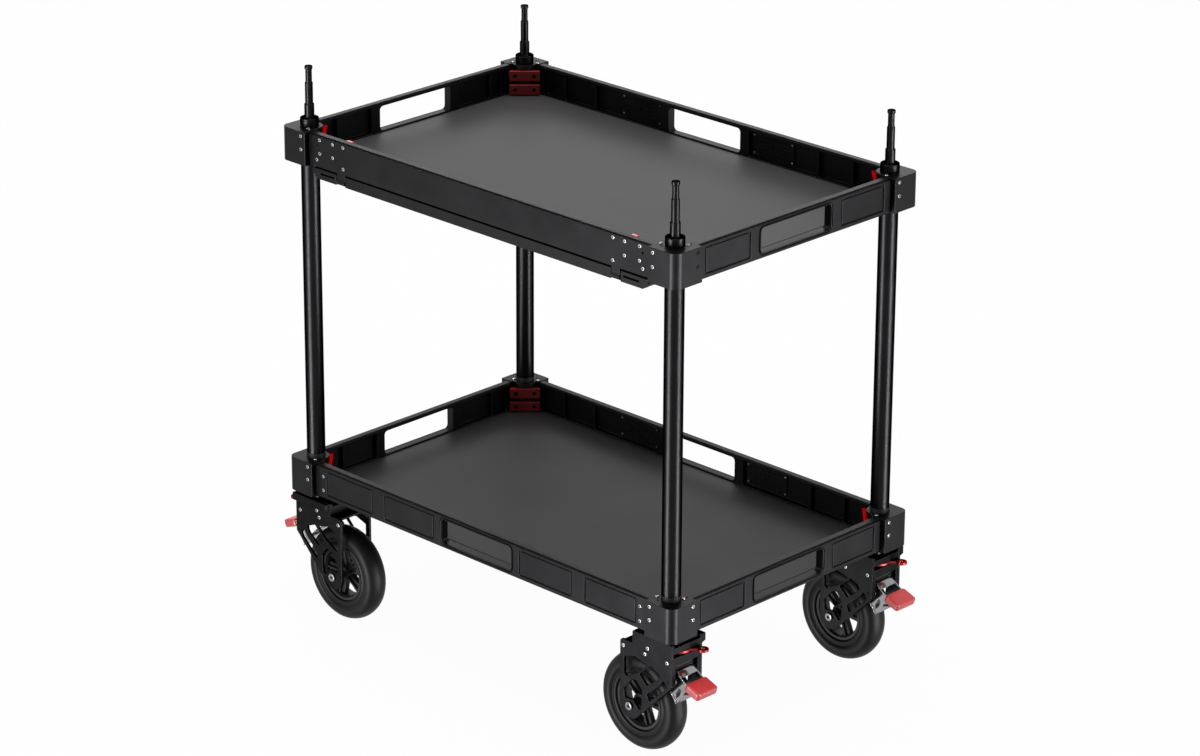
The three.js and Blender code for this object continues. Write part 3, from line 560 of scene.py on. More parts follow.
# Sizes that rails and blocks share, from the CAD pieces. OVERHANG is how far a block stands out past
# the post's axis, REACH how far its arms run back along the rails, and ARM from the axis to their faces.
POST_LOW, POST_HIGH = extent("post_back_right")
POST = (POST_LOW + POST_HIGH) / 2
POST_RADIUS = (POST_HIGH[0] - POST_LOW[0]) / 2
RAIL_LOW, RAIL_HIGH = extent("upper_rail_back")
RAIL_THICKNESS = RAIL_HIGH[1] - RAIL_LOW[1]
RAIL_HEIGHT = RAIL_HIGH[2] - RAIL_LOW[2]
OVERHANG = extent("upper_corner_back_right")[1][0] - POST[0]
REACH = POST[0] - RAIL_HIGH[0] - FIT_GAP
ARM = RAIL_LOW[1] - POST[1]

# Rails: the wall, the lip on top, and the hollows inside between ribs
WALL_EDGE = 1.2
WALL_RADIUS = 1.5
LIP_WIDTH = 13.6
LIP_HEIGHT = 2.4
LIP_SEAT = 1.2
LIP_RADIUS = 1.2
LIP_PART_LINE = 0.2
MARGIN = 8
END_LAND = 14
RIB = 6
HOLLOW_DEPTH = 11
LONG_RIB_SHARES = [0.552, 0.797]
SHORT_RIB_SHARES = [0.662]
END_SCREW_X = 447
END_SCREW_HEIGHTS = (16.6, 47.1)

# Handle slot: its ring, the gap round it to the side and above, and the lands beside it
SLOT_HALF = 98
SLOT_RIM = 1
SLOT_RADIUS = 8
SLOT_RECESS = 2.6
SLOT_RING = 2.4
SLOT_RING_PROUD = 0.5
SLOT_RING_EDGE = 1.1
SLOT_RING_STEPS = 4
SLOT_GROOVE = (3.2, 1.5)
SLOT_FRAME = 5
SLOT_LAND = 24
SLOT_LOW = MARGIN + SLOT_RIM
SLOT_HIGH = RAIL_HEIGHT - MARGIN - SLOT_RIM

# Pockets outside, as shares of the length between the slot's frame and the rail's end, and their panels
LONG_POCKET_SHARES = [(0.049, 0.44), (0.538, 0.912)]
SHORT_POCKET_SHARES = [(0.144, 0.885)]
POCKET_DEPTH = 3
POCKET_RADIUS = 3.5
PANEL_GAP = 2.3
PANEL_SUNK = 0.9
PANEL_RADIUS = 2.5
PANEL_EDGE = 1.0

# Each side's direction along the rail and outwards
SIDE_AXES = {
    "back": (-EAST, NORTH),
    "front": (EAST, -NORTH),
    "left": (-NORTH, -EAST),
    "right": (NORTH, EAST),
}


def hollows(start, ribs, half, low, high, depth):
    """Pockets between ribs, from start to the end land, on both sides of the middle."""
    edges = [start]
    for rib in ribs:
        edges += [rib - RIB / 2, rib + RIB / 2]
    edges.append(half - END_LAND)
    found = []
    for x0, x1 in zip(edges[::2], edges[1::2]):
        found.append((rectangle(x0, low, x1, high, POCKET_RADIUS), depth, ()))
        found.append((rectangle(-x1, low, -x0, high, POCKET_RADIUS), depth, ()))
    return found


def top_lip(half, height):
    """Strip along the rail's top, set back from the outer face and parted from the wall by a line."""
    points, faces = slab(
        rectangle(-half, LIP_PART_LINE, half, LIP_WIDTH, LIP_RADIUS, TIGHT_STEPS),
        LIP_HEIGHT + LIP_SEAT, rounding=SOFT_EDGE, steps=SMALL_STEPS)
    # The strip is drawn flat, x along the rail and y outwards, so it stands on the rail's side view
    points = points[:, [0, 2, 1]]
    points[:, 1] += height - LIP_HEIGHT - LIP_SEAT
    return points, [block[:, ::-1] for block in faces]


def slot_loop(wider=0, taller=0):
    """Outline of the handle slot in the rail's side view, grown by wider and taller on each side."""
    return rectangle(
        -SLOT_HALF - wider, SLOT_LOW - taller, SLOT_HALF + wider, SLOT_HIGH + taller,
        SLOT_RADIUS + taller)


def slot_frame():
    """Raised ring round the handle slot, which stands in its own recess with a dark gap round it."""
    ring = slab(
        slot_loop(SLOT_RING, SLOT_RING), SLOT_RECESS + BITE + SLOT_RING_PROUD, through=(slot_loop(),),
        rounding=SLOT_RING_EDGE, steps=SLOT_RING_STEPS)
    return moved(ring, z=RAIL_THICKNESS - SLOT_RECESS - BITE)


def pocket_panel(start, end, top):
    """Flat panel in a pocket of the rail, with a dark gap all round it."""
    floor = RAIL_THICKNESS - POCKET_DEPTH - BITE
    panel = slab(
        rectangle(start + PANEL_GAP, MARGIN + PANEL_GAP, end - PANEL_GAP, top - PANEL_GAP, PANEL_RADIUS),
        RAIL_THICKNESS - PANEL_SUNK - floor, rounding=PANEL_EDGE, steps=SMALL_STEPS)
    return moved(panel, z=floor)


def rail(name, side):
    """Extruded rail, drawn from the side: a plate with pockets outside, the recessed slot through it
    and hollows inside, with panels in the pockets, the slot's ring, and the lip on top."""
    low, high = extent(name)
    across, outward = SIDE_AXES[side]
    half = abs((high - low) @ across) / 2
    long_side = side in ("back", "front")
    frame_end = SLOT_HALF + SLOT_FRAME
    free = half - frame_end
    top = RAIL_HEIGHT - MARGIN
    fronts, panels = [], []
    for first, last in LONG_POCKET_SHARES if long_side else SHORT_POCKET_SHARES:
        x0 = frame_end + first * free
        x1 = frame_end + last * free
        for start, end in ((x0, x1), (-x1, -x0)):
            fronts.append((rectangle(start, MARGIN, end, top, POCKET_RADIUS), POCKET_DEPTH, ()))
            panels.append(pocket_panel(start, end, top))
    recess = slot_loop(*(SLOT_RING + groove for groove in SLOT_GROOVE))
    fronts.append((recess, SLOT_RECESS, (slot_loop(),)))
    ribs = [frame_end + share * free for share in (LONG_RIB_SHARES if long_side else SHORT_RIB_SHARES)]
    backs = hollows(SLOT_HALF + SLOT_LAND, ribs, half, MARGIN, top, HOLLOW_DEPTH)
    wall = slab(
        rectangle(-half, 0, half, RAIL_HEIGHT - LIP_HEIGHT, WALL_RADIUS, TIGHT_STEPS), RAIL_THICKNESS,
        front=fronts, back=backs, rounding=WALL_EDGE, steps=SMALL_STEPS)
    origin = (low + high) / 2 - outward * RAIL_THICKNESS / 2
    origin[2] = low[2]
    parts = [wall, top_lip(half, RAIL_HEIGHT), slot_frame(), *panels]
    piece(f"{name}_extrusion", [put(shell, origin, across, UP) for shell in parts], "cart_frame",
          "black_anodised", (name,))
    if name.startswith("lower") and long_side:
        places = [
            (origin + across * x + outward * RAIL_THICKNESS + UP * z, outward)
            for x in (-END_SCREW_X, END_SCREW_X) for z in END_SCREW_HEIGHTS]
        screws(f"{name}_end", "rail_end", places, "cart_frame")


for tray in ("upper", "lower"):
    for side in ("back", "left", "right"):
        rail(f"{tray}_rail_{side}", side)
rail("lower_rail_front", "front")


# Corner blocks, with the post's lobe inside the tray and the rounded outer edge

LOBE_WALL = 7.5
EDGE_RADIUS = 17
ARM_RADIUS = 1.2
BLOCK_EDGE = 0.8
BLOCK_SCREW_INSET = 18
BLOCK_SCREW_DROPS = (9.4, 37)
DARK_SCREW_BLOCK = ("upper", "front_right")
BLOCK_TOP_SCREWS = [(12.8, -24.4), (-16, 17.6)]
BLOCK_TOP_HOLES = [(21.8, -13), (-24.6, 17.2)]
BLOCK_HOLE_RADIUS = 2.2
BLOCK_HOLE_DEPTH = 3.5


def block_outline():
    """Plan of the block for the corner at +X, +Y, with the post's axis at the origin: the outer arc,
    the two arms, and the lobe's arc between the places where it meets the arms' inner faces."""
    lobe = POST_RADIUS + LOBE_WALL
    meet = math.degrees(math.asin(ARM / lobe))
    turn = OVERHANG - EDGE_RADIUS
    near, far = ARM + ARM_RADIUS, OVERHANG - ARM_RADIUS
    end = -REACH + ARM_RADIUS
    return distinct(np.vstack([
        arc((far, end), ARM_RADIUS, -90, 0, 4),
        arc((turn, turn), EDGE_RADIUS, 0, 90, 16),
        arc((end, far), ARM_RADIUS, 90, 180, 4),
        arc((end, near), ARM_RADIUS, 180, 270, 4),
        arc((0, 0), lobe, 180 - meet, 270 + meet, 28),
        arc((near, end), ARM_RADIUS, 180, 270, 4),
    ]))


def corner_block(corner, tray):
    """The plan raised to the block's height, turned to its corner, with its screws. A lower block also
    has what carries the caster."""
    side_x, side_y = CORNERS[corner]["side"]
    turn = CORNERS[corner]["turn"]
    node = f"{tray}_corner_{corner}"
    low, high = extent(node)
    axis = middle(f"post_{corner}")
    bottom, foot = (low[2], []) if tray == "upper" else bearing_foot(corner)
    holes = [(circle(place, BLOCK_HOLE_RADIUS), BLOCK_HOLE_DEPTH, ()) for place in BLOCK_TOP_HOLES]
    body = slab(block_outline(), high[2] - bottom, front=holes, rounding=BLOCK_EDGE, steps=SMALL_STEPS)
    shells = [spun(body, turn, (axis[0], axis[1], bottom)), *foot]
    piece(f"{tray}_block_{corner}", shells, "cart_frame", "black_anodised", (node,))
    cos, sin = math.cos(math.radians(turn)), math.sin(math.radians(turn))
    tops = [
        ((axis[0] + cos * x - sin * y, axis[1] + sin * x + cos * y, high[2]), UP)
        for x, y in BLOCK_TOP_SCREWS]
    screws(f"{tray}_block_top_{corner}", "block_top", tops, "cart_frame")
    silver, dark = [], []
    for drop in BLOCK_SCREW_DROPS:
        z = high[2] - drop
        long_face = (axis[0] - side_x * BLOCK_SCREW_INSET, axis[1] + side_y * OVERHANG, z)
        short_face = (axis[0] + side_x * OVERHANG, axis[1] - side_y * BLOCK_SCREW_INSET, z)
        silver.append((long_face, (0, side_y, 0)))
        chosen = dark if (tray, corner) == DARK_SCREW_BLOCK else silver
        chosen.append((short_face, (side_x, 0, 0)))
    screws(f"{tray}_block_{corner}", "block", silver, "cart_frame")
    if dark:
        screws(f"{tray}_block_{corner}_dark", "block", dark, "cart_frame", dark=True)


# What hangs from the lower blocks: a plate, the swivel bearing and the kingpin with its nut
HEAD_PLATE = 3.5
HEAD_PLATE_REACH = 38
HEAD_PLATE_OUTER = 30
HEAD_PLATE_RADIUS = 8
HEAD_PLATE_SEAT = 1
BEARING_RADIUS = 22
BEARING_STEP = (2, 1.4)
BEARING_EDGES = [0.4, 0.2, 0.4, 0.2]
KINGPIN_RADIUS = 8
KINGPIN_NUT_RADIUS = 12.6
KINGPIN_NUT = 5.4
KINGPIN_EDGES = [0.8, 0.8, 0.2, 0.2]
SWIVEL_GAP = 6


def swivel_place(corner):
    """Swivel axis of a caster and the height of its yoke's top, from the frame's own joint."""
    joint = next(j for j in frame["joints"] if j["name"] == f"{corner}_swivel")
    return np.array(joint["pos_m"]) / MM


def bearing_foot(corner):
    """Height of a lower block's underside, and the plate, turned bearing and turned pin below it."""
    axis = middle(f"post_{corner}")
    swivel = swivel_place(corner)
    bottom = swivel[2] + SWIVEL_GAP
    plate = slab(
        rectangle(-HEAD_PLATE_REACH, -HEAD_PLATE_REACH, HEAD_PLATE_OUTER, HEAD_PLATE_OUTER,
                  HEAD_PLATE_RADIUS), HEAD_PLATE + HEAD_PLATE_SEAT, rounding=SHEET_EDGE)
    neck = BEARING_RADIUS - BEARING_STEP[0]
    race = turned(rounded_profile(
        [(0, 0), (neck, 0), (neck, BEARING_STEP[1]), (BEARING_RADIUS, BEARING_STEP[1]),
         (BEARING_RADIUS, SWIVEL_GAP), (0, SWIVEL_GAP)], BEARING_EDGES))
    low = extent(f"lower_corner_{corner}")[0][2]
    nut_top = low + KINGPIN_NUT
    pin = turned(rounded_profile(
        [(0, low), (KINGPIN_NUT_RADIUS, low), (KINGPIN_NUT_RADIUS, nut_top), (KINGPIN_RADIUS, nut_top),
         (KINGPIN_RADIUS, bottom), (0, bottom)], KINGPIN_EDGES))
    return bottom, [
        spun(plate, CORNERS[corner]["turn"], (axis[0], axis[1], bottom - HEAD_PLATE)),
        moved(race, swivel[0], swivel[1], swivel[2] + RUNNING_GAP),
        moved(pin, swivel[0], swivel[1]),
    ]


for corner in CORNERS:
    for tray in ("upper", "lower"):
        corner_block(corner, tray)


# Posts, the stepped pins on top of them, and the dark matt rings where they enter the lower blocks

POST_WALL = 2
# The collar and the steps above it: radius, height, and rounding at the foot and at the top
PIN_STEPS = [
    (19, 17, 0.8, 1.6),
    (10, 28, 0.7, 1.0),
    (8, 44.7, 0.7, 1.0),
    (6.5, 27.1, 0.7, 1.0),
    (8, 6.6, 0.7, 1.0),
]
PIN_DIMPLE = (4.6, 2.4)
DIMPLE_FLOOR = 0.8
DIMPLE_EDGES = (0.4, 0.5)
# The dark matt ring at each post's foot: its height, how far it is sunk, and its widths inside and
# outside the post
FOOT_RING_HEIGHT = 9
FOOT_RING_SUNK = 0.5
FOOT_RING_WIDTHS = (0.6, 0.7)


def post(corner):
    """A tube as high as the CAD post."""
    node = f"post_{corner}"
    low, high = extent(node)
    axis = middle(node)
    shell = tube(POST_RADIUS - POST_WALL, POST_RADIUS, low[2], high[2])
    piece(f"tube_{corner}", [moved(shell, axis[0], axis[1])], "cart_frame", "black_tube", (node,))


def pin(corner):
    """Profile of the collar and of the steps above it, down into the dimple, turned."""
    node = f"accessory_pin_{corner}"
    axis = middle(node)
    z = extent(node)[0][2]
    profile, radii = [(0, z)], []
    for radius, height, foot, top in PIN_STEPS:
        profile += [(radius, z), (radius, z + height)]
        radii += [foot, top]
        z += height
    dimple, depth = PIN_DIMPLE
    profile += [(dimple, z), (dimple * DIMPLE_FLOOR, z - depth), (0, z - depth)]
    radii += DIMPLE_EDGES
    shell = turned(rounded_profile(profile, radii), FINE_SIDES)
    piece(f"stepped_pin_{corner}", [moved(shell, axis[0], axis[1])], "cart_frame", "black_tube", (node,))


def post_foot_ring(corner):
    """Thin dark matt tube round the post, on top of the lower block, which darkens the post's foot."""
    axis = middle(f"post_{corner}")
    z = extent(f"lower_corner_{corner}")[1][2]
    inward, outward = FOOT_RING_WIDTHS
    shell = tube(POST_RADIUS - inward, POST_RADIUS + outward, z - FOOT_RING_SUNK, z + FOOT_RING_HEIGHT)
    piece(f"post_foot_ring_{corner}", [moved(shell, axis[0], axis[1])], "cart_frame", "hub_plastic")


for corner in CORNERS:
    post(corner)
    pin(corner)
    post_foot_ring(corner)


# Shelves: a sheet with folded edges, which shows as a fine step just inside the rails

SHELF_FOLD = 10
SHELF_STEP = 0.8
SHELF_UNDERCUT = 1
SHELF_SIDE_GAP = 0.5


def shelf_outline(high, edge):
    """Rectangle with each corner cut out round the block's lobe, moved in by edge."""
    x, y = high[:2] - edge
    lobe = POST_RADIUS + LOBE_WALL + SHELF_SIDE_GAP + edge
    end_x = POST[0] - REACH - FIT_GAP - edge
    end_y = POST[1] - REACH - FIT_GAP - edge
    reach_x, reach_y = x - POST[0], y - POST[1]
    first = math.degrees(math.acos(np.clip(reach_x / lobe, -1, 1)))
    last = math.degrees(math.acos(np.clip(reach_y / lobe, -1, 1)))
    sweep = arc((0, 0), lobe, 360 - first, 180 + last, 20)
    quarter = np.vstack([[(reach_x, end_y - POST[1])], sweep, [(end_x - POST[0], reach_y)]]) + POST[:2]
    sides = [place["side"] for place in CORNERS.values()]
    return distinct(np.vstack([(quarter * [sx, sy])[::sx * sy] for sx, sy in sides]))


def shelf(tray):
    """The sheet inside its folded edge, on the base that runs under the fold."""
    node = f"{tray}_shelf"
    low, high = extent(node)
    thickness = high[2] - low[2]
    base = slab(shelf_outline(high, 0), thickness - SHELF_STEP, rounding=SHEET_EDGE)
    sheet = slab(shelf_outline(high, SHELF_FOLD), thickness - SHELF_UNDERCUT, rounding=SHEET_EDGE)
    piece(f"{tray}_deck_sheet", [moved(base, z=low[2]), moved(sheet, z=low[2] + SHELF_UNDERCUT)],
          "cart_frame", "shelf_coat", (node,))


for tray in ("upper", "lower"):
    shelf(tray)


# Red clamp bars that pinch each post inside the trays

CLAMP_WIDTH = 65
CLAMP_THICKNESS = 10
CLAMP_HEIGHT = 22.5
CLAMP_RADIUS = 3
CLAMP_DROPS = (9, 38.8)
CLAMP_REACH = 23.5
CLAMP_SCREW_SHARE = 0.3


def clamps(corner, tray):
    """Two bars, one above the other, across the corner's bisector, with two screws each."""
    top = extent(f"{tray}_corner_{corner}")[1][2]
    facing = math.radians(CORNERS[corner]["turn"] + 225)
    outward = np.array([math.cos(facing), math.sin(facing), 0])
    across = np.cross(UP, outward)
    bar = slab(
        rectangle(-CLAMP_WIDTH / 2, -CLAMP_HEIGHT, CLAMP_WIDTH / 2, 0, CLAMP_RADIUS), CLAMP_THICKNESS,
        rounding=BROAD_EDGE, steps=SMALL_STEPS)
    shells, heads = [], []
    for drop in CLAMP_DROPS:
        origin = middle(f"post_{corner}") + outward * CLAMP_REACH
        origin[2] = top - drop
        shells.append(put(bar, origin, across, UP))
        for place in (-1, 1):
            shift = across * place * CLAMP_WIDTH * CLAMP_SCREW_SHARE
            spot = origin + shift + outward * CLAMP_THICKNESS
            spot[2] -= CLAMP_HEIGHT / 2
            heads.append((spot, outward))
    piece(f"{tray}_clamp_bars_{corner}", shells, "cart_frame", "red_anodised")
    screws(f"{tray}_clamp_{corner}", "clamp", heads, "cart_frame", dark=True)


for corner in CORNERS:
    for tray in ("upper", "lower"):
        clamps(corner, tray)


# Front gate with its hinge lugs, latch guides and screws

GATE_LIFT = 3.2
GATE_WEB = 7
GATE_RIB_SHARES = [0.26, 0.65]
LUG_TONGUE = (365.7, 388.1)
LUG_BEHIND = 0.3
LUG_THICKNESS = 8
LUG_RISE = 12
KNUCKLE_RADIUS = 6.4
LATCH_BOX_INSET = 22.7
LATCH_BOX_WIDTH = 48
LATCH_BOX_HEIGHT = 36
LATCH_BOX_DEPTH = 17
LATCH_BOX_RADIUS = 3
GATE_SCREWS = [
    (370, 1037.5), (370, 993), (400, 1037.4), (400, 1009.6), (438.5, 1037.6), (438.5, 1009.3),
    (447, 995.5)]
GATE_HOLE = (446, 1026)
GATE_HOLE_RADIUS = 2.4
GATE_HOLE_DEPTH = 4

hinge = next(j for j in frame["joints"] if j["name"] == "gate_fold")
HINGE = np.array(hinge["pos_m"]) / MM
GATE_LOW, GATE_HIGH = extent("front_gate")
GATE_HALF = GATE_HIGH[0]
GATE_BOTTOM = RAIL_LOW[2] + GATE_LIFT
GATE_FACE = GATE_LOW[1]


def front_gate():
    """A plate drawn from the front, with hollows inside, the lip on top, a box for each latch, and two
    lugs: each the arc of a knuckle about the hinge's axis, with a tongue up behind the gate's face."""
    height = GATE_HIGH[2] - GATE_BOTTOM
    ribs = [share * GATE_HALF for share in GATE_RIB_SHARES]
    backs = hollows(RIB / 2, ribs, GATE_HALF, MARGIN, height - MARGIN, RAIL_THICKNESS - GATE_WEB)
    fronts = [
        (circle((side * GATE_HOLE[0], GATE_HOLE[1] - GATE_BOTTOM), GATE_HOLE_RADIUS), GATE_HOLE_DEPTH, ())
        for side in (-1, 1)]
    wall = slab(
        rectangle(-GATE_HALF, 0, GATE_HALF, height - LIP_HEIGHT, SOFT_EDGE, TIGHT_STEPS),
        RAIL_THICKNESS, front=fronts, back=backs, rounding=SOFT_EDGE, steps=SMALL_STEPS)
    origin = (0, GATE_FACE + RAIL_THICKNESS, GATE_BOTTOM)
    shells = [put(shell, origin, EAST, UP) for shell in (wall, top_lip(GATE_HALF, height))]
    tongue_top = GATE_BOTTOM - HINGE[2] + LUG_RISE
    centre = LUG_THICKNESS / 2
    lean = math.degrees(math.acos(centre / KNUCKLE_RADIUS))
    lug_outline = np.vstack([
        arc((centre, 0), KNUCKLE_RADIUS, 180 - lean, 360 + lean, 28),
        [(LUG_THICKNESS, tongue_top), (0, tongue_top)],
    ])
    lug = slab(lug_outline, LUG_TONGUE[1] - LUG_TONGUE[0], rounding=SOFT_EDGE, steps=SMALL_STEPS)
    guide = slab(
        rectangle(0, 0, LATCH_BOX_WIDTH, LATCH_BOX_HEIGHT, LATCH_BOX_RADIUS), LATCH_BOX_DEPTH,
        rounding=BROAD_EDGE, steps=SMALL_STEPS)
    guide_y = GATE_FACE + GATE_WEB - BITE
    guide_z = GATE_HIGH[2] - MARGIN - LATCH_BOX_HEIGHT
    places = []
    for side in (-1, 1):
        start = LUG_TONGUE[0] if side > 0 else -LUG_TONGUE[1]
        # The lug's outline has x running inwards from just behind the gate's face
        shells.append(put(lug, (start, GATE_FACE + LUG_BEHIND, HINGE[2]), NORTH, UP))
        outer = side * (GATE_HALF - LATCH_BOX_INSET)
        guide_x = max(outer, outer - side * LATCH_BOX_WIDTH)
        shells.append(put(guide, (guide_x, guide_y, guide_z), -EAST, UP))
        places += [((side * x, GATE_FACE, z), -NORTH) for x, z in GATE_SCREWS]
    piece("gate_extrusion", shells, "front_gate", "black_anodised", ("front_gate",))
    screws("gate", "block", places, "front_gate")


front_gate()

# Latch tab, drawn from the side as shares of its depth and height, and the steel bolt that it slides
TAB_WIDTH = 15
TAB_HEIGHT = 34.6
TAB_SHARES = [(0, 0), (1, 0), (1, 1), (0.62, 1), (0.5, 0.9), (0, 0.82)]
TAB_RADII = [2, 5, 3, 1.5, 2, 2]
BOLT_RADIUS = 3.9
BOLT_EDGE = 0.6
BOLT_OUT = 6.5
BOLT_SEAT = 1


def gate_latch(name, side):
    """Thumb tab with a scooped grip beside its box, and a round bolt from it to the node's outer end."""
    low, high = extent(name)
    box_inner = side * (GATE_HALF - LATCH_BOX_INSET - LATCH_BOX_WIDTH)
    x0 = box_inner + RUNNING_GAP if side < 0 else box_inner - RUNNING_GAP - TAB_WIDTH
    outline = fillet(np.array(TAB_SHARES) * [high[1] - low[1], TAB_HEIGHT], TAB_RADII)
    tab = slab(outline, TAB_WIDTH, rounding=BROAD_EDGE, steps=SMALL_STEPS)
    base = high[2] - TAB_HEIGHT
    piece(f"{name}_tab", [put(tab, (x0, low[1], base), NORTH, UP)], name, "red_plastic", (name,))
    start = x0 + TAB_WIDTH - BOLT_SEAT if side > 0 else low[0]
    end = high[0] if side > 0 else x0 + BOLT_SEAT
    place = (start, GATE_FACE + GATE_WEB + BOLT_OUT, base + TAB_HEIGHT / 2)
    bolt = along_x(rod(BOLT_RADIUS, 0, end - start, BOLT_EDGE), place)
    piece(f"{name}_bolt", [bolt], name, "bright_steel")


gate_latch("gate_latch_left", -1)
gate_latch("gate_latch_right", 1)


# Sill under the gate: a front bar notched for the lugs, on a deeper bar that carries it

SILL_CHAMFER = 12
SILL_RADIUS = 1.2
SILL_SETBACK = 0.4
SILL_OVERLAP = 0.5
NOTCH_GAPS = (1, 2.4)
NOTCH_DEPTH = 16
SILL_SLOT = (396, 10.4, 438, 14.2)
SILL_SLOT_RADIUS = 1.2
SILL_SLOT_DEPTH = 6
HINGE_PIN_RADIUS = 3
HINGE_PIN_EDGE = 0.4
HINGE_PIN_SEAT = 3


def gate_sill():
    """Three plates drawn from the front with a notch between them for each lug, the hinge pin that
    crosses each notch, and the plate behind them."""
    low, high = extent("gate_sill")
    half, height = high[0], high[2] - low[2]
    near, far = LUG_TONGUE[0] - NOTCH_GAPS[0], LUG_TONGUE[1] + NOTCH_GAPS[1]
    face = (0, low[1] + NOTCH_DEPTH, low[2])
    centre = rectangle(-near, 0, near, height, SOFT_EDGE, TIGHT_STEPS)
    shells = [put(slab(centre, NOTCH_DEPTH, rounding=BAR_EDGE), face, EAST, UP)]
    end = np.array(
        [(far, 0), (half - SILL_CHAMFER, 0), (half, SILL_CHAMFER), (half, height), (far, height)])
    slot = rectangle(*SILL_SLOT, SILL_SLOT_RADIUS)
    pin_length = far - near + 2 * HINGE_PIN_SEAT
    for side in (-1, 1):
        plate = slab(
            fillet(end * [side, 1], SILL_RADIUS, SMALL_STEPS), NOTCH_DEPTH,
            front=((slot * [side, 1], SILL_SLOT_DEPTH, ()),), rounding=BAR_EDGE)
        shells.append(put(plate, face, EAST, UP))
        start = (near if side > 0 else -far) - HINGE_PIN_SEAT
        hinge_pin = rod(HINGE_PIN_RADIUS, 0, pin_length, HINGE_PIN_EDGE)
        shells.append(along_x(hinge_pin, (start, HINGE[1], HINGE[2])))
    side_x, top = half - SILL_SETBACK, height - SILL_SETBACK
    foot_x = half - SILL_CHAMFER
    back = fillet(
        [(-foot_x, SILL_SETBACK), (foot_x, SILL_SETBACK), (side_x, SILL_CHAMFER), (side_x, top),
         (-side_x, top), (-side_x, SILL_CHAMFER)], SILL_RADIUS, SMALL_STEPS)
    depth = high[1] - low[1] - NOTCH_DEPTH
    carrier = slab(back, depth + SILL_OVERLAP, rounding=BAR_EDGE)
    shells.append(put(carrier, (0, high[1], low[2]), EAST, UP))
    piece("sill_bars", shells, "cart_frame", "black_anodised", ("gate_sill",))


gate_sill()


# Perforated accessory plates inside the back rails: two in the CAD, and the lower tray's pair like them

PLATE_SCREW = (50.5, 18.5)
PLATE_HOLE_RADIUS = 4
PLATE_RADIUS = 5
PERFORATED_EDGE = 0.35
DOT_RADIUS = 1.5
DOT_SIDES = 10
DOT_PITCH = 8.4
DOT_COLUMNS = range(-5, 6)
DOT_ROWS = range(-2, 3)
# In pitches: how near a dot may come to the middle hole, and how far out it may lie
DOT_NEAREST = 1.1
DOT_FARTHEST = 5.2


def accessory_plate(name, centre, size, nodes):
    """A plate with a hole in the middle and dots round it, in rows that are offset by half a pitch."""
    width, thickness, height = size
    dots = []
    for column in DOT_COLUMNS:
        for row in DOT_ROWS:
            across = column + row % 2 / 2
            if math.hypot(across, row) > DOT_NEAREST and abs(across) < DOT_FARTHEST:
                dots.append(circle((across * DOT_PITCH, row * DOT_PITCH), DOT_RADIUS, DOT_SIDES))
    plate = slab(
        rectangle(-width / 2, -height / 2, width / 2, height / 2, PLATE_RADIUS), thickness,
        through=[circle((0, 0), PLATE_HOLE_RADIUS), *dots], rounding=PERFORATED_EDGE)
    piece(name, [put(plate, centre + NORTH * thickness / 2, EAST, UP)], "cart_frame", "black_anodised",
          nodes)
    face = centre - NORTH * thickness / 2
    places = [
        (face + EAST * sx * PLATE_SCREW[0] + UP * sy * PLATE_SCREW[1], -NORTH)
        for sx in (-1, 1) for sy in (-1, 1)]
    screws(name, "plate", places, "cart_frame")


tray_drop = RAIL_LOW[2] - extent("lower_rail_back")[0][2]
for name in ("left", "right"):
    low, high = extent(f"accessory_plate_{name}")
    centre, size = (low + high) / 2, high - low
    accessory_plate(f"upper_perforated_plate_{name}", centre, size, (f"accessory_plate_{name}",))
    accessory_plate(f"lower_perforated_plate_{name}", centre - UP * tray_drop, size, ())


# Casters, drawn with the swivel axis at x = y = 0, the outer side at +X and the floor at z = 0

YOKE_WALL = 6
YOKE_LOW, YOKE_HIGH = extent("yoke_back_right")
YOKE_TOP = YOKE_HIGH[2]
YOKE_OUT = (YOKE_HIGH[1] - YOKE_LOW[1]) / 2
YOKE_IN = YOKE_OUT - YOKE_WALL
YOKE_FRONT = YOKE_HIGH[0] - swivel_place("back_right")[0]
YOKE_REAR = YOKE_LOW[0] - swivel_place("back_right")[0]
TYRE_LOW, TYRE_HIGH = extent("tyre_back_right")
WHEEL_RADIUS = (TYRE_HIGH[0] - TYRE_LOW[0]) / 2
WHEEL_WIDTH = TYRE_HIGH[1] - TYRE_LOW[1]
WHEEL_X = (TYRE_LOW[0] + TYRE_HIGH[0]) / 2 - swivel_place("back_right")[0]
AXLE_Z = WHEEL_RADIUS

# Side plates: rounding from the front edge round to the rear, the nose at the pedal's pin, the screws,
# and the truss openings as shares of the plate's length and height
AXLE_LUG_RADIUS = WHEEL_X - YOKE_REAR
STEP_X = -60
STEP_DROP = 26
STEP_Z = YOKE_TOP - STEP_DROP
SIDE_RADII = (1.5, 2, 3, 6)
NOSE_RADIUS = 4
NOSE_SHARE = 0.45
NOSE_Z = AXLE_Z + NOSE_SHARE * (YOKE_TOP - AXLE_Z)
SIDE_SCREWS = [(-83.8, 221), (-26.5, 221), (31.4, 221), (-19.8, 234.7)]
TRUSS_SHARES = [
    [(0.08, 0.4), (0.12, 0.37), (0.375, 0.49), (0.53, 0.625), (0.29, 0.675), (0.08, 0.62)],
    [(0.375, 0.467), (0.52, 0.35), (0.725, 0.487), (0.777, 0.56), (0.585, 0.628)],
    [(0.52, 0.236), (0.565, 0.157), (0.855, 0.378), (0.895, 0.44), (0.845, 0.516), (0.765, 0.42)],
    [(0.083, 0.2), (0.1, 0.078), (0.255, 0.089), (0.365, -0.005), (0.415, 0.01), (0.43, 0.266),
     (0.32, 0.37), (0.235, 0.357)],
]
TRUSS_RADIUS = 2.4

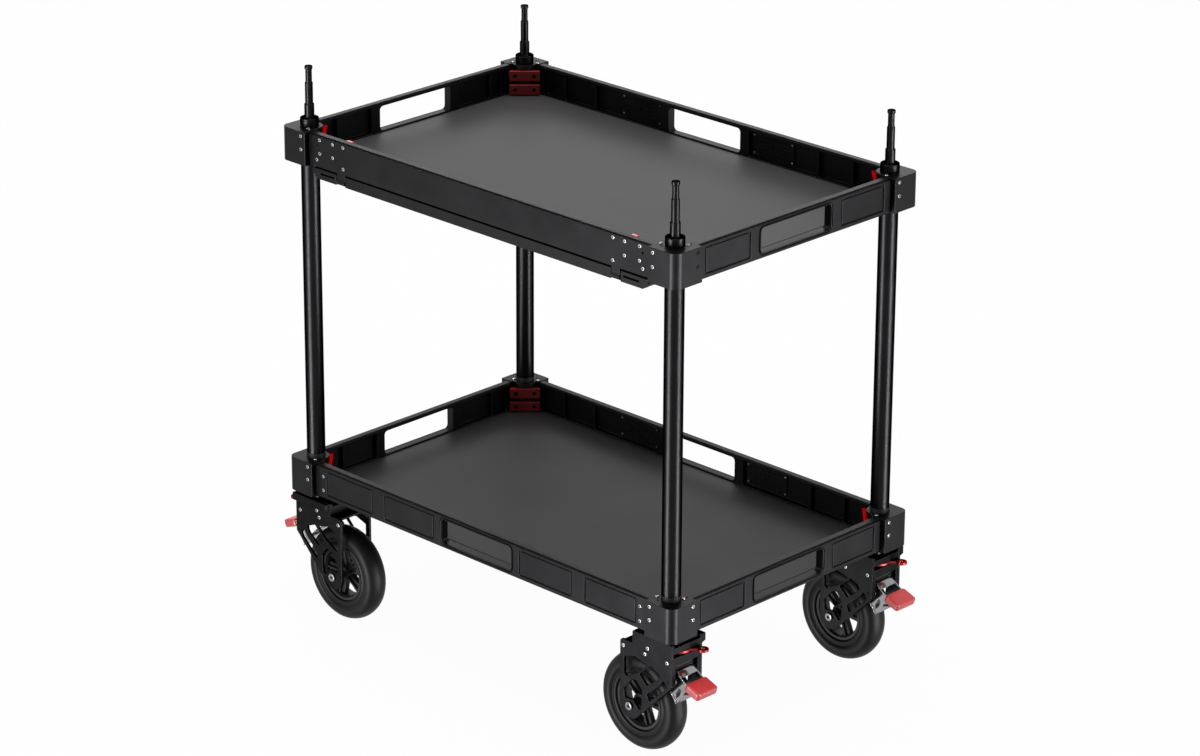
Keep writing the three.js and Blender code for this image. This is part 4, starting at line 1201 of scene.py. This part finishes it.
# Plates between the two side plates, which they enter a little, and set back a little from their edges
ENTRY = 0.4
SETBACK = 0.35
CROSS_RADIUS = 1
TOP_PLATE = 8
LOCK_SLOT_TOP = 20
LOCK_SLOT = 8
LOCK_FLOOR = 6
LOCK_FLOOR_DEPTH = 39
LOCK_FLOOR_SETBACK = 1
LOCK_PIVOT_X = 20
LOCK_POST_RADIUS = 4
WINDOW_TOP = 45
COLUMN = 6
COLUMN_LAP = 1
SPACER_RADIUS = 7
SPACER_LENGTH = 6
ROD_EDGE = 0.4

# Plate over the wheel at the rear, and the head's ear on the lever's side, which only the scene has
REAR_PLATE = 5
REAR_PLATE_INSET = 7
REAR_PLATE_LAP = 4
REAR_PLATE_DROP = 0.4
REAR_PLATE_RADIUS = 1.2
EAR = 9.5
EAR_SEAT = 4
EAR_LOW = 240.6
EAR_CHAMFER = 3
EAR_RADIUS = 1.2
EAR_END = 3

# Dark housing of the pedal's spring behind the front window, and the fins on its face
HOUSING_X = (22, 33)
HOUSING_Z = (193, 218)
HOUSING_GAP = 1
HOUSING_RADIUS = 2
HOUSING_EDGE = 0.8
FIN_RISES = (3, 9, 15)
FIN_HEIGHT = 2
FIN_DEPTH = 3
FIN_SEAT = 1
FIN_INSET = 3
FIN_RADIUS = 0.9

# The pedal's pin, as far behind the yoke's front edge and above its nose
PEDAL_PIN_PLACE = (9, 11)
PEDAL_X = YOKE_FRONT - PEDAL_PIN_PLACE[0]
PEDAL_Z = NOSE_Z + PEDAL_PIN_PLACE[1]


def caster(shell, corner):
    """A shell drawn for a caster, turned and moved to its corner."""
    place = swivel_place(corner)
    return spun(shell, 0 if CORNERS[corner]["side"][0] > 0 else 180, (place[0], place[1], 0))


def caster_point(point, outward, corner):
    """A point drawn for a caster and a direction from it, turned and moved to its corner."""
    sign = CORNERS[corner]["side"][0]
    place = swivel_place(corner)
    spot = np.array([place[0] + sign * point[0], place[1] + sign * point[1], point[2]])
    return spot, np.array([sign * outward[0], sign * outward[1], outward[2]])


def facing_plate(x, wide, high, thickness, radius=CROSS_RADIUS, rounding=PLATE_EDGE):
    """A plate drawn from the front, over the widths and heights given, from x forwards."""
    outline = rectangle(wide[0], high[0], wide[1], high[1], radius)
    return put(slab(outline, thickness, rounding=rounding), (x, 0, 0), NORTH, UP)


def level_plate(z, start, end, half, thickness, radius=CROSS_RADIUS, rounding=PLATE_EDGE):
    """A plate drawn from above, from start to end and as far as half to each side, from z upwards."""
    return put(slab(rectangle(start, -half, end, half, radius), thickness, rounding=rounding), (0, 0, z))


def side_plate():
    """Side view of the yoke's plate: top edge, rear step, the arc about the axle, and the tangent from
    it to the nose; with the truss openings through it."""
    reach = np.array([YOKE_FRONT - WHEEL_X, NOSE_Z - AXLE_Z])
    leave = math.degrees(
        math.atan2(reach[1], reach[0]) - math.acos(AXLE_LUG_RADIUS / np.linalg.norm(reach)))
    path = [
        (YOKE_FRONT, NOSE_Z), (YOKE_FRONT, YOKE_TOP), (STEP_X, YOKE_TOP), (STEP_X, STEP_Z),
        (YOKE_REAR, STEP_Z), (YOKE_REAR, AXLE_Z)]
    outline = np.vstack([
        *(fillet_corner(*path[k:k + 3], radius) for k, radius in enumerate(SIDE_RADII)),
        arc((WHEEL_X, AXLE_Z), AXLE_LUG_RADIUS, 180, 360 + leave, 24),
        fillet_corner((WHEEL_X, AXLE_Z), path[0], path[1], NOSE_RADIUS),
    ])
    size = [YOKE_FRONT - YOKE_REAR, YOKE_TOP - AXLE_Z]
    holes = [
        fillet(np.array(shares) * size + [YOKE_REAR, AXLE_Z], TRUSS_RADIUS, SMALL_STEPS)
        for shares in TRUSS_SHARES]
    return slab(distinct(outline), YOKE_WALL, through=holes, rounding=BAR_EDGE)


def yoke(corner):
    """Two side plates, the plates and columns between them, the lock's post, spacers behind the screws,
    the ear and the rear plate."""
    inner = YOKE_IN + ENTRY
    front = YOKE_FRONT - SETBACK
    top = YOKE_TOP - SETBACK
    cross_x = front - YOKE_WALL
    full = (-inner, inner)
    slot_top = YOKE_TOP - LOCK_SLOT_TOP
    slot_bottom = slot_top - LOCK_SLOT
    floor_z = slot_bottom - LOCK_FLOOR
    window_top = YOKE_TOP - WINDOW_TOP
    # A side plate is drawn from the side, and its thickness runs along -Y
    sides = [put(side_plate(), (0, y, 0), EAST, UP) for y in (-YOKE_IN, YOKE_OUT)]
    columns = [
        facing_plate(cross_x, wide, (NOSE_Z + COLUMN_LAP, window_top + COLUMN_LAP), YOKE_WALL)
        for wide in ((-inner, -YOKE_IN + COLUMN), (YOKE_IN - COLUMN, inner))]
    lock_post = rod(LOCK_POST_RADIUS, floor_z, YOKE_TOP - TOP_PLATE / 2, ROD_EDGE)
    half = SPACER_LENGTH / 2
    spacers = [
        along_y(rod(SPACER_RADIUS, 0, SPACER_LENGTH, SHEET_EDGE), (x, side * (YOKE_IN - half) - half, z))
        for x, z in SIDE_SCREWS[:2] for side in (-1, 1)]
    ear_root, ear_end = YOKE_OUT - EAR_SEAT, YOKE_OUT + EAR
    ear = fillet(
        [(ear_root, EAR_LOW), (YOKE_OUT, EAR_LOW), (ear_end, EAR_LOW + EAR_CHAMFER), (ear_end, top),
         (ear_root, top)], EAR_RADIUS, SMALL_STEPS)
    shells = [
        *sides,
        level_plate(YOKE_TOP - TOP_PLATE, STEP_X + BITE, front, inner, TOP_PLATE - SETBACK),
        facing_plate(cross_x, full, (slot_top, top), YOKE_WALL),
        facing_plate(cross_x, full, (window_top, slot_bottom), YOKE_WALL),
        level_plate(
            floor_z, YOKE_FRONT - LOCK_FLOOR_DEPTH, front - LOCK_FLOOR_SETBACK, inner, LOCK_FLOOR),
        *columns,
        facing_plate(STEP_X + BITE, full, (STEP_Z, top), YOKE_WALL),
        moved(lock_post, x=LOCK_PIVOT_X),
        put(slab(ear, front - STEP_X - EAR_END, rounding=BAR_EDGE), (STEP_X + EAR_END, 0, 0), NORTH, UP),
        level_plate(
            STEP_Z - REAR_PLATE - REAR_PLATE_DROP, YOKE_REAR + REAR_PLATE_INSET,
            STEP_X + REAR_PLATE_LAP, inner, REAR_PLATE, REAR_PLATE_RADIUS, SOFT_EDGE),
        *spacers,
    ]
    piece(f"yoke_plates_{corner}", [caster(shell, corner) for shell in shells], f"caster_{corner}",
          "yoke_black", (f"yoke_{corner}",))
    for name, kind, spots in (
            (f"yoke_{corner}", "yoke", SIDE_SCREWS),
            (f"pedal_pin_{corner}", "pedal_pin", [(PEDAL_X, PEDAL_Z)])):
        places = [
            caster_point((x, side * YOKE_OUT, z), (0, side, 0), corner)
            for x, z in spots for side in (-1, 1)]
        screws(name, kind, places, f"caster_{corner}", dark=kind == "pedal_pin")


def spring_housing(corner):
    """Dark box behind the yoke's front window, with level fins across its face."""
    start, end = HOUSING_X
    box_half, fin_half = YOKE_IN - HOUSING_GAP, YOKE_IN - FIN_INSET
    shells = [
        facing_plate(start, (-box_half, box_half), HOUSING_Z, end - start, HOUSING_RADIUS, HOUSING_EDGE)]
    for rise in FIN_RISES:
        z = HOUSING_Z[0] + rise
        shells.append(facing_plate(
            end - FIN_SEAT, (-fin_half, fin_half), (z, z + FIN_HEIGHT), FIN_DEPTH, FIN_RADIUS, BAR_EDGE))
    piece(f"spring_housing_{corner}", [caster(shell, corner) for shell in shells],
          f"caster_{corner}", "hub_plastic")


# Half of the tyre's section, from the rim out to the tread: height above the rim and half width
TYRE_DEPTH = 42
TYRE_SECTION = [
    (0, 18.6), (2.2, 20.6), (5.5, 21.4), (8, 20.9), (9.6, 19.6), (11.4, 19.8), (13, 21.8), (15.5, 23.8),
    (18.5, 24.8), (22, 25), (26, 24.7), (30, 23.4), (33.5, 21.2), (36.6, 18), (39, 13.8), (40.8, 8.8),
    (41.8, 4), (42, 0)]


def tyre(corner):
    """The section, stretched to the CAD tyre's width and radius and mirrored, turned about the axle."""
    half = np.array(TYRE_SECTION, float)
    half[:, 1] *= WHEEL_WIDTH / 2 / half[:, 1].max()
    radius = WHEEL_RADIUS - TYRE_DEPTH + half[:, 0] * TYRE_DEPTH / half[-1, 0]
    upper = np.column_stack([radius, half[:, 1]])
    lower = np.column_stack([radius, -half[:, 1]])[:-1]
    shell = turned(np.vstack([lower, upper[::-1]]), FINE_SIDES)
    piece(f"balloon_tyre_{corner}", [caster(along_y(shell, (WHEEL_X, 0, AXLE_Z)), corner)],
          f"wheel_{corner}", "tyre", (f"tyre_{corner}",))


RIM_WALL = 9
RIM_WIDTH = 35
RIM_SLOPE = (3, 6)
RIM_RADIUS = 1.2
HUB_NECK = 10
HUB_BOSS = 16
BOSS_GAP = 1
BOSS_SETBACK = 2
BOSS_RADII = [0.6, 0.5, 1.5, 1.5, 0.5, 0.6]
SPOKES = 5
SPOKE_WEB = 12
SPOKE_EDGE = 1.5
SPOKE_RADIUS = 1.6
SPOKE_LAP = 4
# Where a spoke starts, and its half width there and at the rim; then the same for the rib along it
SPOKE_START = 6
SPOKE_ROOT = 7
SPOKE_HALF = 11
RIB_START = 8
RIB_HALF = 2
RIB_RADIUS = 0.8
RIB_SETBACK = 6
RIB_LAP = 3


def hub(corner):
    """Rim and boss turned about the axle, and spokes that widen towards the rim, each with a rib."""
    outer = WHEEL_RADIUS - TYRE_DEPTH - FIT_GAP
    inner = outer - RIM_WALL
    half = RIM_WIDTH / 2
    lip, slope = inner + RIM_SLOPE[0], half - RIM_SLOPE[1]
    rim = turned(fillet(
        [(lip, -half), (outer, -half), (outer, half), (lip, half), (inner, slope), (inner, -slope)],
        RIM_RADIUS, SMALL_STEPS), FINE_SIDES)
    boss_half, shoulder = YOKE_IN - BOSS_GAP, half - BOSS_SETBACK
    boss = turned(rounded_profile(
        [(0, -boss_half), (HUB_NECK, -boss_half), (HUB_NECK, -half), (HUB_BOSS, -shoulder),
         (HUB_BOSS, shoulder), (HUB_NECK, half), (HUB_NECK, boss_half), (0, boss_half)], BOSS_RADII))
    end = inner + SPOKE_LAP
    blade = fillet(
        [(SPOKE_START, -SPOKE_ROOT), (end, -SPOKE_HALF), (end, SPOKE_HALF), (SPOKE_START, SPOKE_ROOT)],
        SPOKE_RADIUS, TIGHT_STEPS)
    spoke = moved(slab(blade, SPOKE_WEB, rounding=SPOKE_EDGE, steps=SMALL_STEPS), z=-SPOKE_WEB / 2)
    crest = rectangle(RIB_START, -RIB_HALF, inner + RIB_LAP, RIB_HALF, RIB_RADIUS, TIGHT_STEPS)
    rib = moved(slab(crest, RIM_WIDTH - 2 * RIB_SETBACK, rounding=BAR_EDGE), z=-half + RIB_SETBACK)
    shells = [rim, boss]
    for k in range(SPOKES):
        shells += [spun(shell, 90 + k * 360 / SPOKES) for shell in (spoke, rib)]
    piece(f"hub_moulding_{corner}",
          [caster(along_y(shell, (WHEEL_X, 0, AXLE_Z)), corner) for shell in shells],
          f"wheel_{corner}", "hub_plastic", (f"hub_{corner}",))


AXLE_RADIUS = 5.8
AXLE_EDGE = 0.3
AXLE_END = 0.5
AXLE_HEAD_RADIUS = 8.6
AXLE_HEAD = 4.6
AXLE_HEAD_GAP = 0.3
AXLE_KEY = 6.4
AXLE_SOCKET = 3.4


def axle(corner):
    """A round bar with a socket head at each end."""
    end = YOKE_OUT + AXLE_END
    bar = rod(AXLE_RADIUS, -end, end, AXLE_EDGE)
    shells = [caster(along_y(bar, (WHEEL_X, 0, AXLE_Z)), corner)]
    shade_plates = []
    for side in (-1, 1):
        spot, outward = caster_point(
            (WHEEL_X, side * (YOKE_OUT + AXLE_HEAD_GAP), AXLE_Z), (0, side, 0), corner)
        axes = head_axes(outward)
        head = socket_screw(AXLE_HEAD_RADIUS, AXLE_HEAD, AXLE_KEY, AXLE_SOCKET)
        shells.append(put(head, spot, *axes))
        # Dark plates painted in as the shade inside the heads' sockets
        shade_plates.append(put(socket_shade_plate(AXLE_KEY, AXLE_HEAD, AXLE_SOCKET), spot, *axes))
    piece(f"axle_bolt_{corner}", shells, f"caster_{corner}", "bright_steel", (f"axle_{corner}",))
    piece(f"axle_bolt_painted_shade_{corner}", shade_plates, f"caster_{corner}", "black_anodised", material=OXIDE_AND_SHADE)


# Pedal: radius of its hub, inner and outer face of its arms, and places seen from the side, from its pin
PEDAL_HUB = 8
PEDAL_ARM = (21.5, 24.5)
PEDAL_TIP = (38, -9)
PEDAL_TIP_HALF = 3
PEDAL_RISE = 12
PEDAL_RADII = [5, 1, 1, 5, 4, 1, 1, 4, 4]
PEDAL_WINDOW = [(2, -31), (3, -40), (13, -30), (18, -17), (10, -14)]
PEDAL_WINDOW_RADIUS = 2.5
PEDAL_PIN_RADIUS = 3
PEDAL_PIN_EDGE = 0.3
# In hub radii: the arm's outer corner from the shoe's foot, and its elbow from the foot and the pin
ARM_HEEL = (2, 3)
ARM_ELBOW = (2.8, 1.6)

# Shoe and guard, as (angle above the axle's level, distance from the tread), and the crossbar
SHOE_WIDTH = 52
SHOE_THICKNESS = 3
SHOE_TOP = (29.5, 5.7)
SHOE_FOOT = (17.8, 11.3)
SHOE_BEND = 3
SHOE_BULGE = (0.8, 0.3)
GUARD_ROOM = 3.4
GUARD_ANGLES = (66, 60, 54, 48, 42, 37)
CROSSBAR_REACHES = (-8.5, 3.6, 9)
CROSSBAR_THICKNESS = 2.6
CROSSBAR_SEAT = 0.5

# Boot: width, length and thickness, its corners and edges, its slope, and how much of the arms it grips
BOOT = (56, 37.4, 17)
BOOT_CORNER = 6
BOOT_CORNER_STEPS = 6
BOOT_EDGE = 4
BOOT_EDGE_STEPS = 5
BOOT_TILT = 20
BOOT_GRIP = 9


def before_tyre(angle, room):
    """A place in front of the tyre: angle above the axle's level, and distance from the tread."""
    turn = math.radians(angle)
    reach = WHEEL_RADIUS + room
    return np.array([WHEEL_X + reach * math.cos(turn), AXLE_Z + reach * math.sin(turn)])


def strip(path, thickness):
    """Outline of a bent strip: the path's points moved to each side by half the thickness."""
    path = np.asarray(path, float)
    along = np.gradient(path, axis=0)
    across = unit(np.column_stack([-along[:, 1], along[:, 0]])) * thickness / 2
    return np.vstack([path + across, (path - across)[::-1]])


def pedal(corner):
    """Two side arms with a window each, a crossbar between them, the pin that they turn on, and the shoe
    in front of the tyre, with its guard running on over the tread."""
    x, z = PEDAL_X, PEDAL_Z
    tip_x, tip_z = x + PEDAL_TIP[0], z + PEDAL_TIP[1]
    rise = np.array([x + PEDAL_HUB, z + PEDAL_RISE])
    top = before_tyre(*SHOE_TOP)
    foot = before_tyre(*SHOE_FOOT)
    arm = fillet(
        [(x - PEDAL_HUB, z), (top[0] - SHOE_THICKNESS, top[1]), foot,
         (foot[0] + ARM_HEEL[0] * PEDAL_HUB, foot[1] + ARM_HEEL[1] * PEDAL_HUB),
         (foot[0] + ARM_ELBOW[0] * PEDAL_HUB, z - ARM_ELBOW[1] * PEDAL_HUB),
         (tip_x, tip_z - PEDAL_TIP_HALF), (tip_x, tip_z + PEDAL_TIP_HALF), rise,
         (x - PEDAL_HUB / 2, z + PEDAL_HUB)],
        PEDAL_RADII)
    window = fillet(np.array(PEDAL_WINDOW) + [x, z], PEDAL_WINDOW_RADIUS, SMALL_STEPS)
    near, far = PEDAL_ARM
    shells = [
        put(slab(arm, far - near, through=(window,), rounding=PLATE_EDGE), (0, y, 0), EAST, UP)
        for y in (-near, far)]
    inside = near + CROSSBAR_SEAT
    along = unit(np.array([tip_x, tip_z]) - rise)
    bar = strip([rise + along * reach for reach in CROSSBAR_REACHES], CROSSBAR_THICKNESS)
    shells.append(put(slab(bar, 2 * inside, rounding=SHEET_EDGE), (0, inside, 0), EAST, UP))
    guard = [before_tyre(angle, GUARD_ROOM) for angle in GUARD_ANGLES]
    bend = before_tyre(SHOE_TOP[0] + SHOE_BEND, (GUARD_ROOM + SHOE_TOP[1]) / 2)
    shoe = strip([*guard, bend, top, (top + foot) / 2 + SHOE_BULGE, foot], SHOE_THICKNESS)
    shells.append(put(slab(shoe, SHOE_WIDTH, rounding=BAR_EDGE), (0, SHOE_WIDTH / 2, 0), EAST, UP))
    shells.append(along_y(rod(PEDAL_PIN_RADIUS, -YOKE_OUT, YOKE_OUT, PEDAL_PIN_EDGE), (x, 0, z)))
    piece(f"pedal_pressing_{corner}", [caster(shell, corner) for shell in shells], f"pedal_{corner}",
          "bright_steel", (f"brake_pedal_{corner}",))


def boot(corner):
    """A rectangle with wide soft edges, drawn from above and sloped down over the pedal's end."""
    width, length, thickness = BOOT
    outline = rectangle(0, -width / 2, length, width / 2, BOOT_CORNER, BOOT_CORNER_STEPS)
    lump = moved(slab(outline, thickness, rounding=BOOT_EDGE, steps=BOOT_EDGE_STEPS), z=-thickness / 2)
    tilt = math.radians(BOOT_TILT)
    origin = (PEDAL_X + PEDAL_TIP[0] - BOOT_GRIP, 0, PEDAL_Z + PEDAL_TIP[1] + PEDAL_RISE / 4)
    lump = put(lump, origin, (math.cos(tilt), 0, -math.sin(tilt)), NORTH)
    piece(f"vinyl_boot_{corner}", [caster(lump, corner)], f"pedal_{corner}", "red_plastic",
          (f"pedal_boot_{corner}",))


# Swivel lock: radius and sweep of its sector, degrees left free at the eye and at the arm, and the place
# of its ring as (reach, angle)
LOCK_THICKNESS = 5.4
LOCK_SECTOR = (26, 85)
LOCK_SECTOR_GAPS = (12, 4)
LOCK_RING_PLACE = (48.5, 33)
LOCK_RING = 11
LOCK_RING_HOLE = 5
LOCK_ARM = 9
LOCK_EYE = 8
LOCK_BORE = 4.3


def swivel_lock(corner):
    """Plan of the lever with its ring along +X: the ring's arc, the arm's sides, the eye about the
    pivot and the toothless sector on the clockwise side."""
    radius, sweep = LOCK_SECTOR
    reach, angle = LOCK_RING_PLACE
    open_ring, open_sector, open_eye = (
        math.degrees(math.asin(LOCK_ARM / 2 / r)) for r in (LOCK_RING, radius, LOCK_EYE))
    outline = distinct(np.vstack([
        arc((reach, 0), LOCK_RING, -180 + open_ring, 180 - open_ring, 32),
        arc((0, 0), LOCK_EYE, open_eye, 360 - sweep - LOCK_SECTOR_GAPS[0], 20),
        arc((0, 0), radius, -sweep, -open_sector - LOCK_SECTOR_GAPS[1], 16),
    ]))
    lever = slab(
        outline, LOCK_THICKNESS,
        through=(circle((reach, 0), LOCK_RING_HOLE), circle((0, 0), LOCK_BORE)),
        rounding=SOFT_EDGE, steps=SMALL_STEPS)
    top = YOKE_TOP - LOCK_SLOT_TOP - RUNNING_GAP
    lever = spun(lever, angle, (LOCK_PIVOT_X, 0, top - LOCK_THICKNESS))
    piece(f"lock_lever_{corner}", [caster(lever, corner)], f"swivel_lock_{corner}", "red_anodised",
          (f"swivel_lock_{corner}",))


for corner in CORNERS:
    for make in (yoke, spring_housing, tyre, hub, axle, pedal, boot, swivel_lock):
        make(corner)


# Studio: floor, world, lamps and camera

AMBIENT = 0.46
FLOOR_SIZE = 9
FLOOR_DROP = 0.0004
FLOOR_SIDES = 64
FLOOR_SHOWN = 0.97
WHITE = srgb("#ffffff")
PALE = srgb("#f3f3f3")


def seen_rays(tree):
    """1 for camera, glossy and transmission rays, which see the plain white surroundings, else 0."""
    path = add(tree, "ShaderNodeLightPath").outputs
    seen = path["Is Camera Ray"]
    for kind in ("Is Glossy Ray", "Is Transmission Ray"):
        links = {0: seen, 1: path[kind]}
        seen = add(tree, "ShaderNodeMath", links=links, operation="MAXIMUM").outputs[0]
    return seen


def blend_shaders(tree, share, first, second, output):
    """Mixes two shaders by share and leads them to the given output."""
    mix = add(tree, "ShaderNodeMixShader", links={0: share, 1: first.outputs[0], 2: second.outputs[0]})
    add(tree, output, links={"Surface": mix.outputs[0]})


def make_world():
    """Soft grey for the light that falls on the cart, white where it is seen or mirrored."""
    world = bpy.data.worlds.new("studio_world")
    bpy.context.scene.world = world
    world.use_nodes = True
    tree = world.node_tree
    tree.nodes.clear()
    fall = add(tree, "ShaderNodeBackground", {"Color": WHITE, "Strength": AMBIENT})
    white = add(tree, "ShaderNodeBackground", {"Color": WHITE, "Strength": 1.0})
    blend_shaders(tree, seen_rays(tree), fall, white, "ShaderNodeOutputWorld")


def make_floor():
    """A pale round floor. Most of what is seen of it is plain white, and the rest keeps the shadow. It
    lets the strip lamps' low light through, as a glass table does."""
    rim = circle((0, 0), FLOOR_SIZE, FLOOR_SIDES)
    points = np.column_stack([rim, np.full(FLOOR_SIDES, -FLOOR_DROP)])
    mesh = bpy.data.meshes.new("floor")
    mesh.from_pydata(points.tolist(), [], [list(range(FLOOR_SIDES))])
    floor = bpy.data.objects.new("floor", mesh)
    floor.visible_shadow = False
    bpy.context.scene.collection.objects.link(floor)
    material = bpy.data.materials.new("pale_floor")
    material.use_nodes = True
    tree = material.node_tree
    tree.nodes.clear()
    share = add(
        tree, "ShaderNodeMath", {1: FLOOR_SHOWN}, {0: seen_rays(tree)}, operation="MULTIPLY")
    lit = add(tree, "ShaderNodeBsdfDiffuse", {"Color": PALE})
    white = add(tree, "ShaderNodeEmission", {"Color": WHITE, "Strength": 1.0})
    blend_shaders(tree, share.outputs[0], lit, white, "ShaderNodeOutputMaterial")
    mesh.materials.append(material)


# Each lamp: compass direction and height of its middle as seen from the cart, in degrees, its distance
# and size in metres, its radiance, and whether it lights mirrored rays alone. The two strips do: they
# are there for the highlights on metal.
LAMPS = [
    ("left_strip", -97, -12, 5, (2.2, 4.2), 20, True),
    ("right_strip", 13, -12, 5, (2.0, 4.2), 20, True),
    ("back_panel", 134, 26, 5, (3.2, 1.4), 3, False),
    ("overhead", -60, 84, 4, (2.4, 1.8), 6.2, False),
]
AIM = Vector((0, 0, 0.6))


def make_lamp(name, azimuth, height, distance, size, radiance, mirrored_only):
    """An area lamp that faces the cart. Its power is radiance times pi times its area. It is sampled as
    a lamp alone, since the floor would stop mirrored rays to the part of a strip that hangs below it."""
    across, up = math.radians(azimuth), math.radians(height)
    lamp = bpy.data.lights.new(name, "AREA")
    lamp.shape = "RECTANGLE"
    lamp.size, lamp.size_y = size
    lamp.energy = radiance * math.pi * size[0] * size[1]
    lamp.cycles.use_multiple_importance_sampling = False
    away = Vector((math.cos(across) * math.cos(up), math.sin(across) * math.cos(up), math.sin(up)))
    made = bpy.data.objects.new(name, lamp)
    made.location = AIM + distance * away
    made.rotation_euler = (-away).to_track_quat("-Z", "Y").to_euler()
    made.visible_camera = False
    made.visible_diffuse = not mirrored_only
    bpy.context.scene.collection.objects.link(made)


# The photograph's frame, in its own pixels, and the camera's place in metres and degrees
IMAGE = (1200, 756)
FOCAL_PX = 4201.23
PRINCIPAL_PX = (548.58, 295.98)
SENSOR = 36
CAMERA_PLACE = (5.4602, -5.5748, 3.6295)
CAMERA_AZIMUTH = 45.0763
CAMERA_ELEVATION = 20.3284
CAMERA_ROLL = -0.0152
CAMERA_NEAR = 0.1
CAMERA_FAR = 100


def make_camera():
    """The photograph's camera, with the little shift that its framing needs."""
    data = bpy.data.cameras.new("camera")
    data.sensor_width = SENSOR
    data.lens = FOCAL_PX * SENSOR / IMAGE[0]
    data.shift_x = (IMAGE[0] / 2 - PRINCIPAL_PX[0]) / IMAGE[0]
    data.shift_y = (PRINCIPAL_PX[1] - IMAGE[1] / 2) / IMAGE[0]
    data.clip_start = CAMERA_NEAR
    data.clip_end = CAMERA_FAR
    made = bpy.data.objects.new("camera", data)
    made.location = CAMERA_PLACE
    turns = (90 - CAMERA_ELEVATION, CAMERA_ROLL, CAMERA_AZIMUTH)
    made.rotation_euler = Euler([math.radians(turn) for turn in turns], "XYZ")
    bpy.context.scene.collection.objects.link(made)
    bpy.context.scene.camera = made


make_world()
make_floor()
for lamp in LAMPS:
    make_lamp(*lamp)
make_camera()
bpy.context.scene.view_settings.view_transform = "Standard"
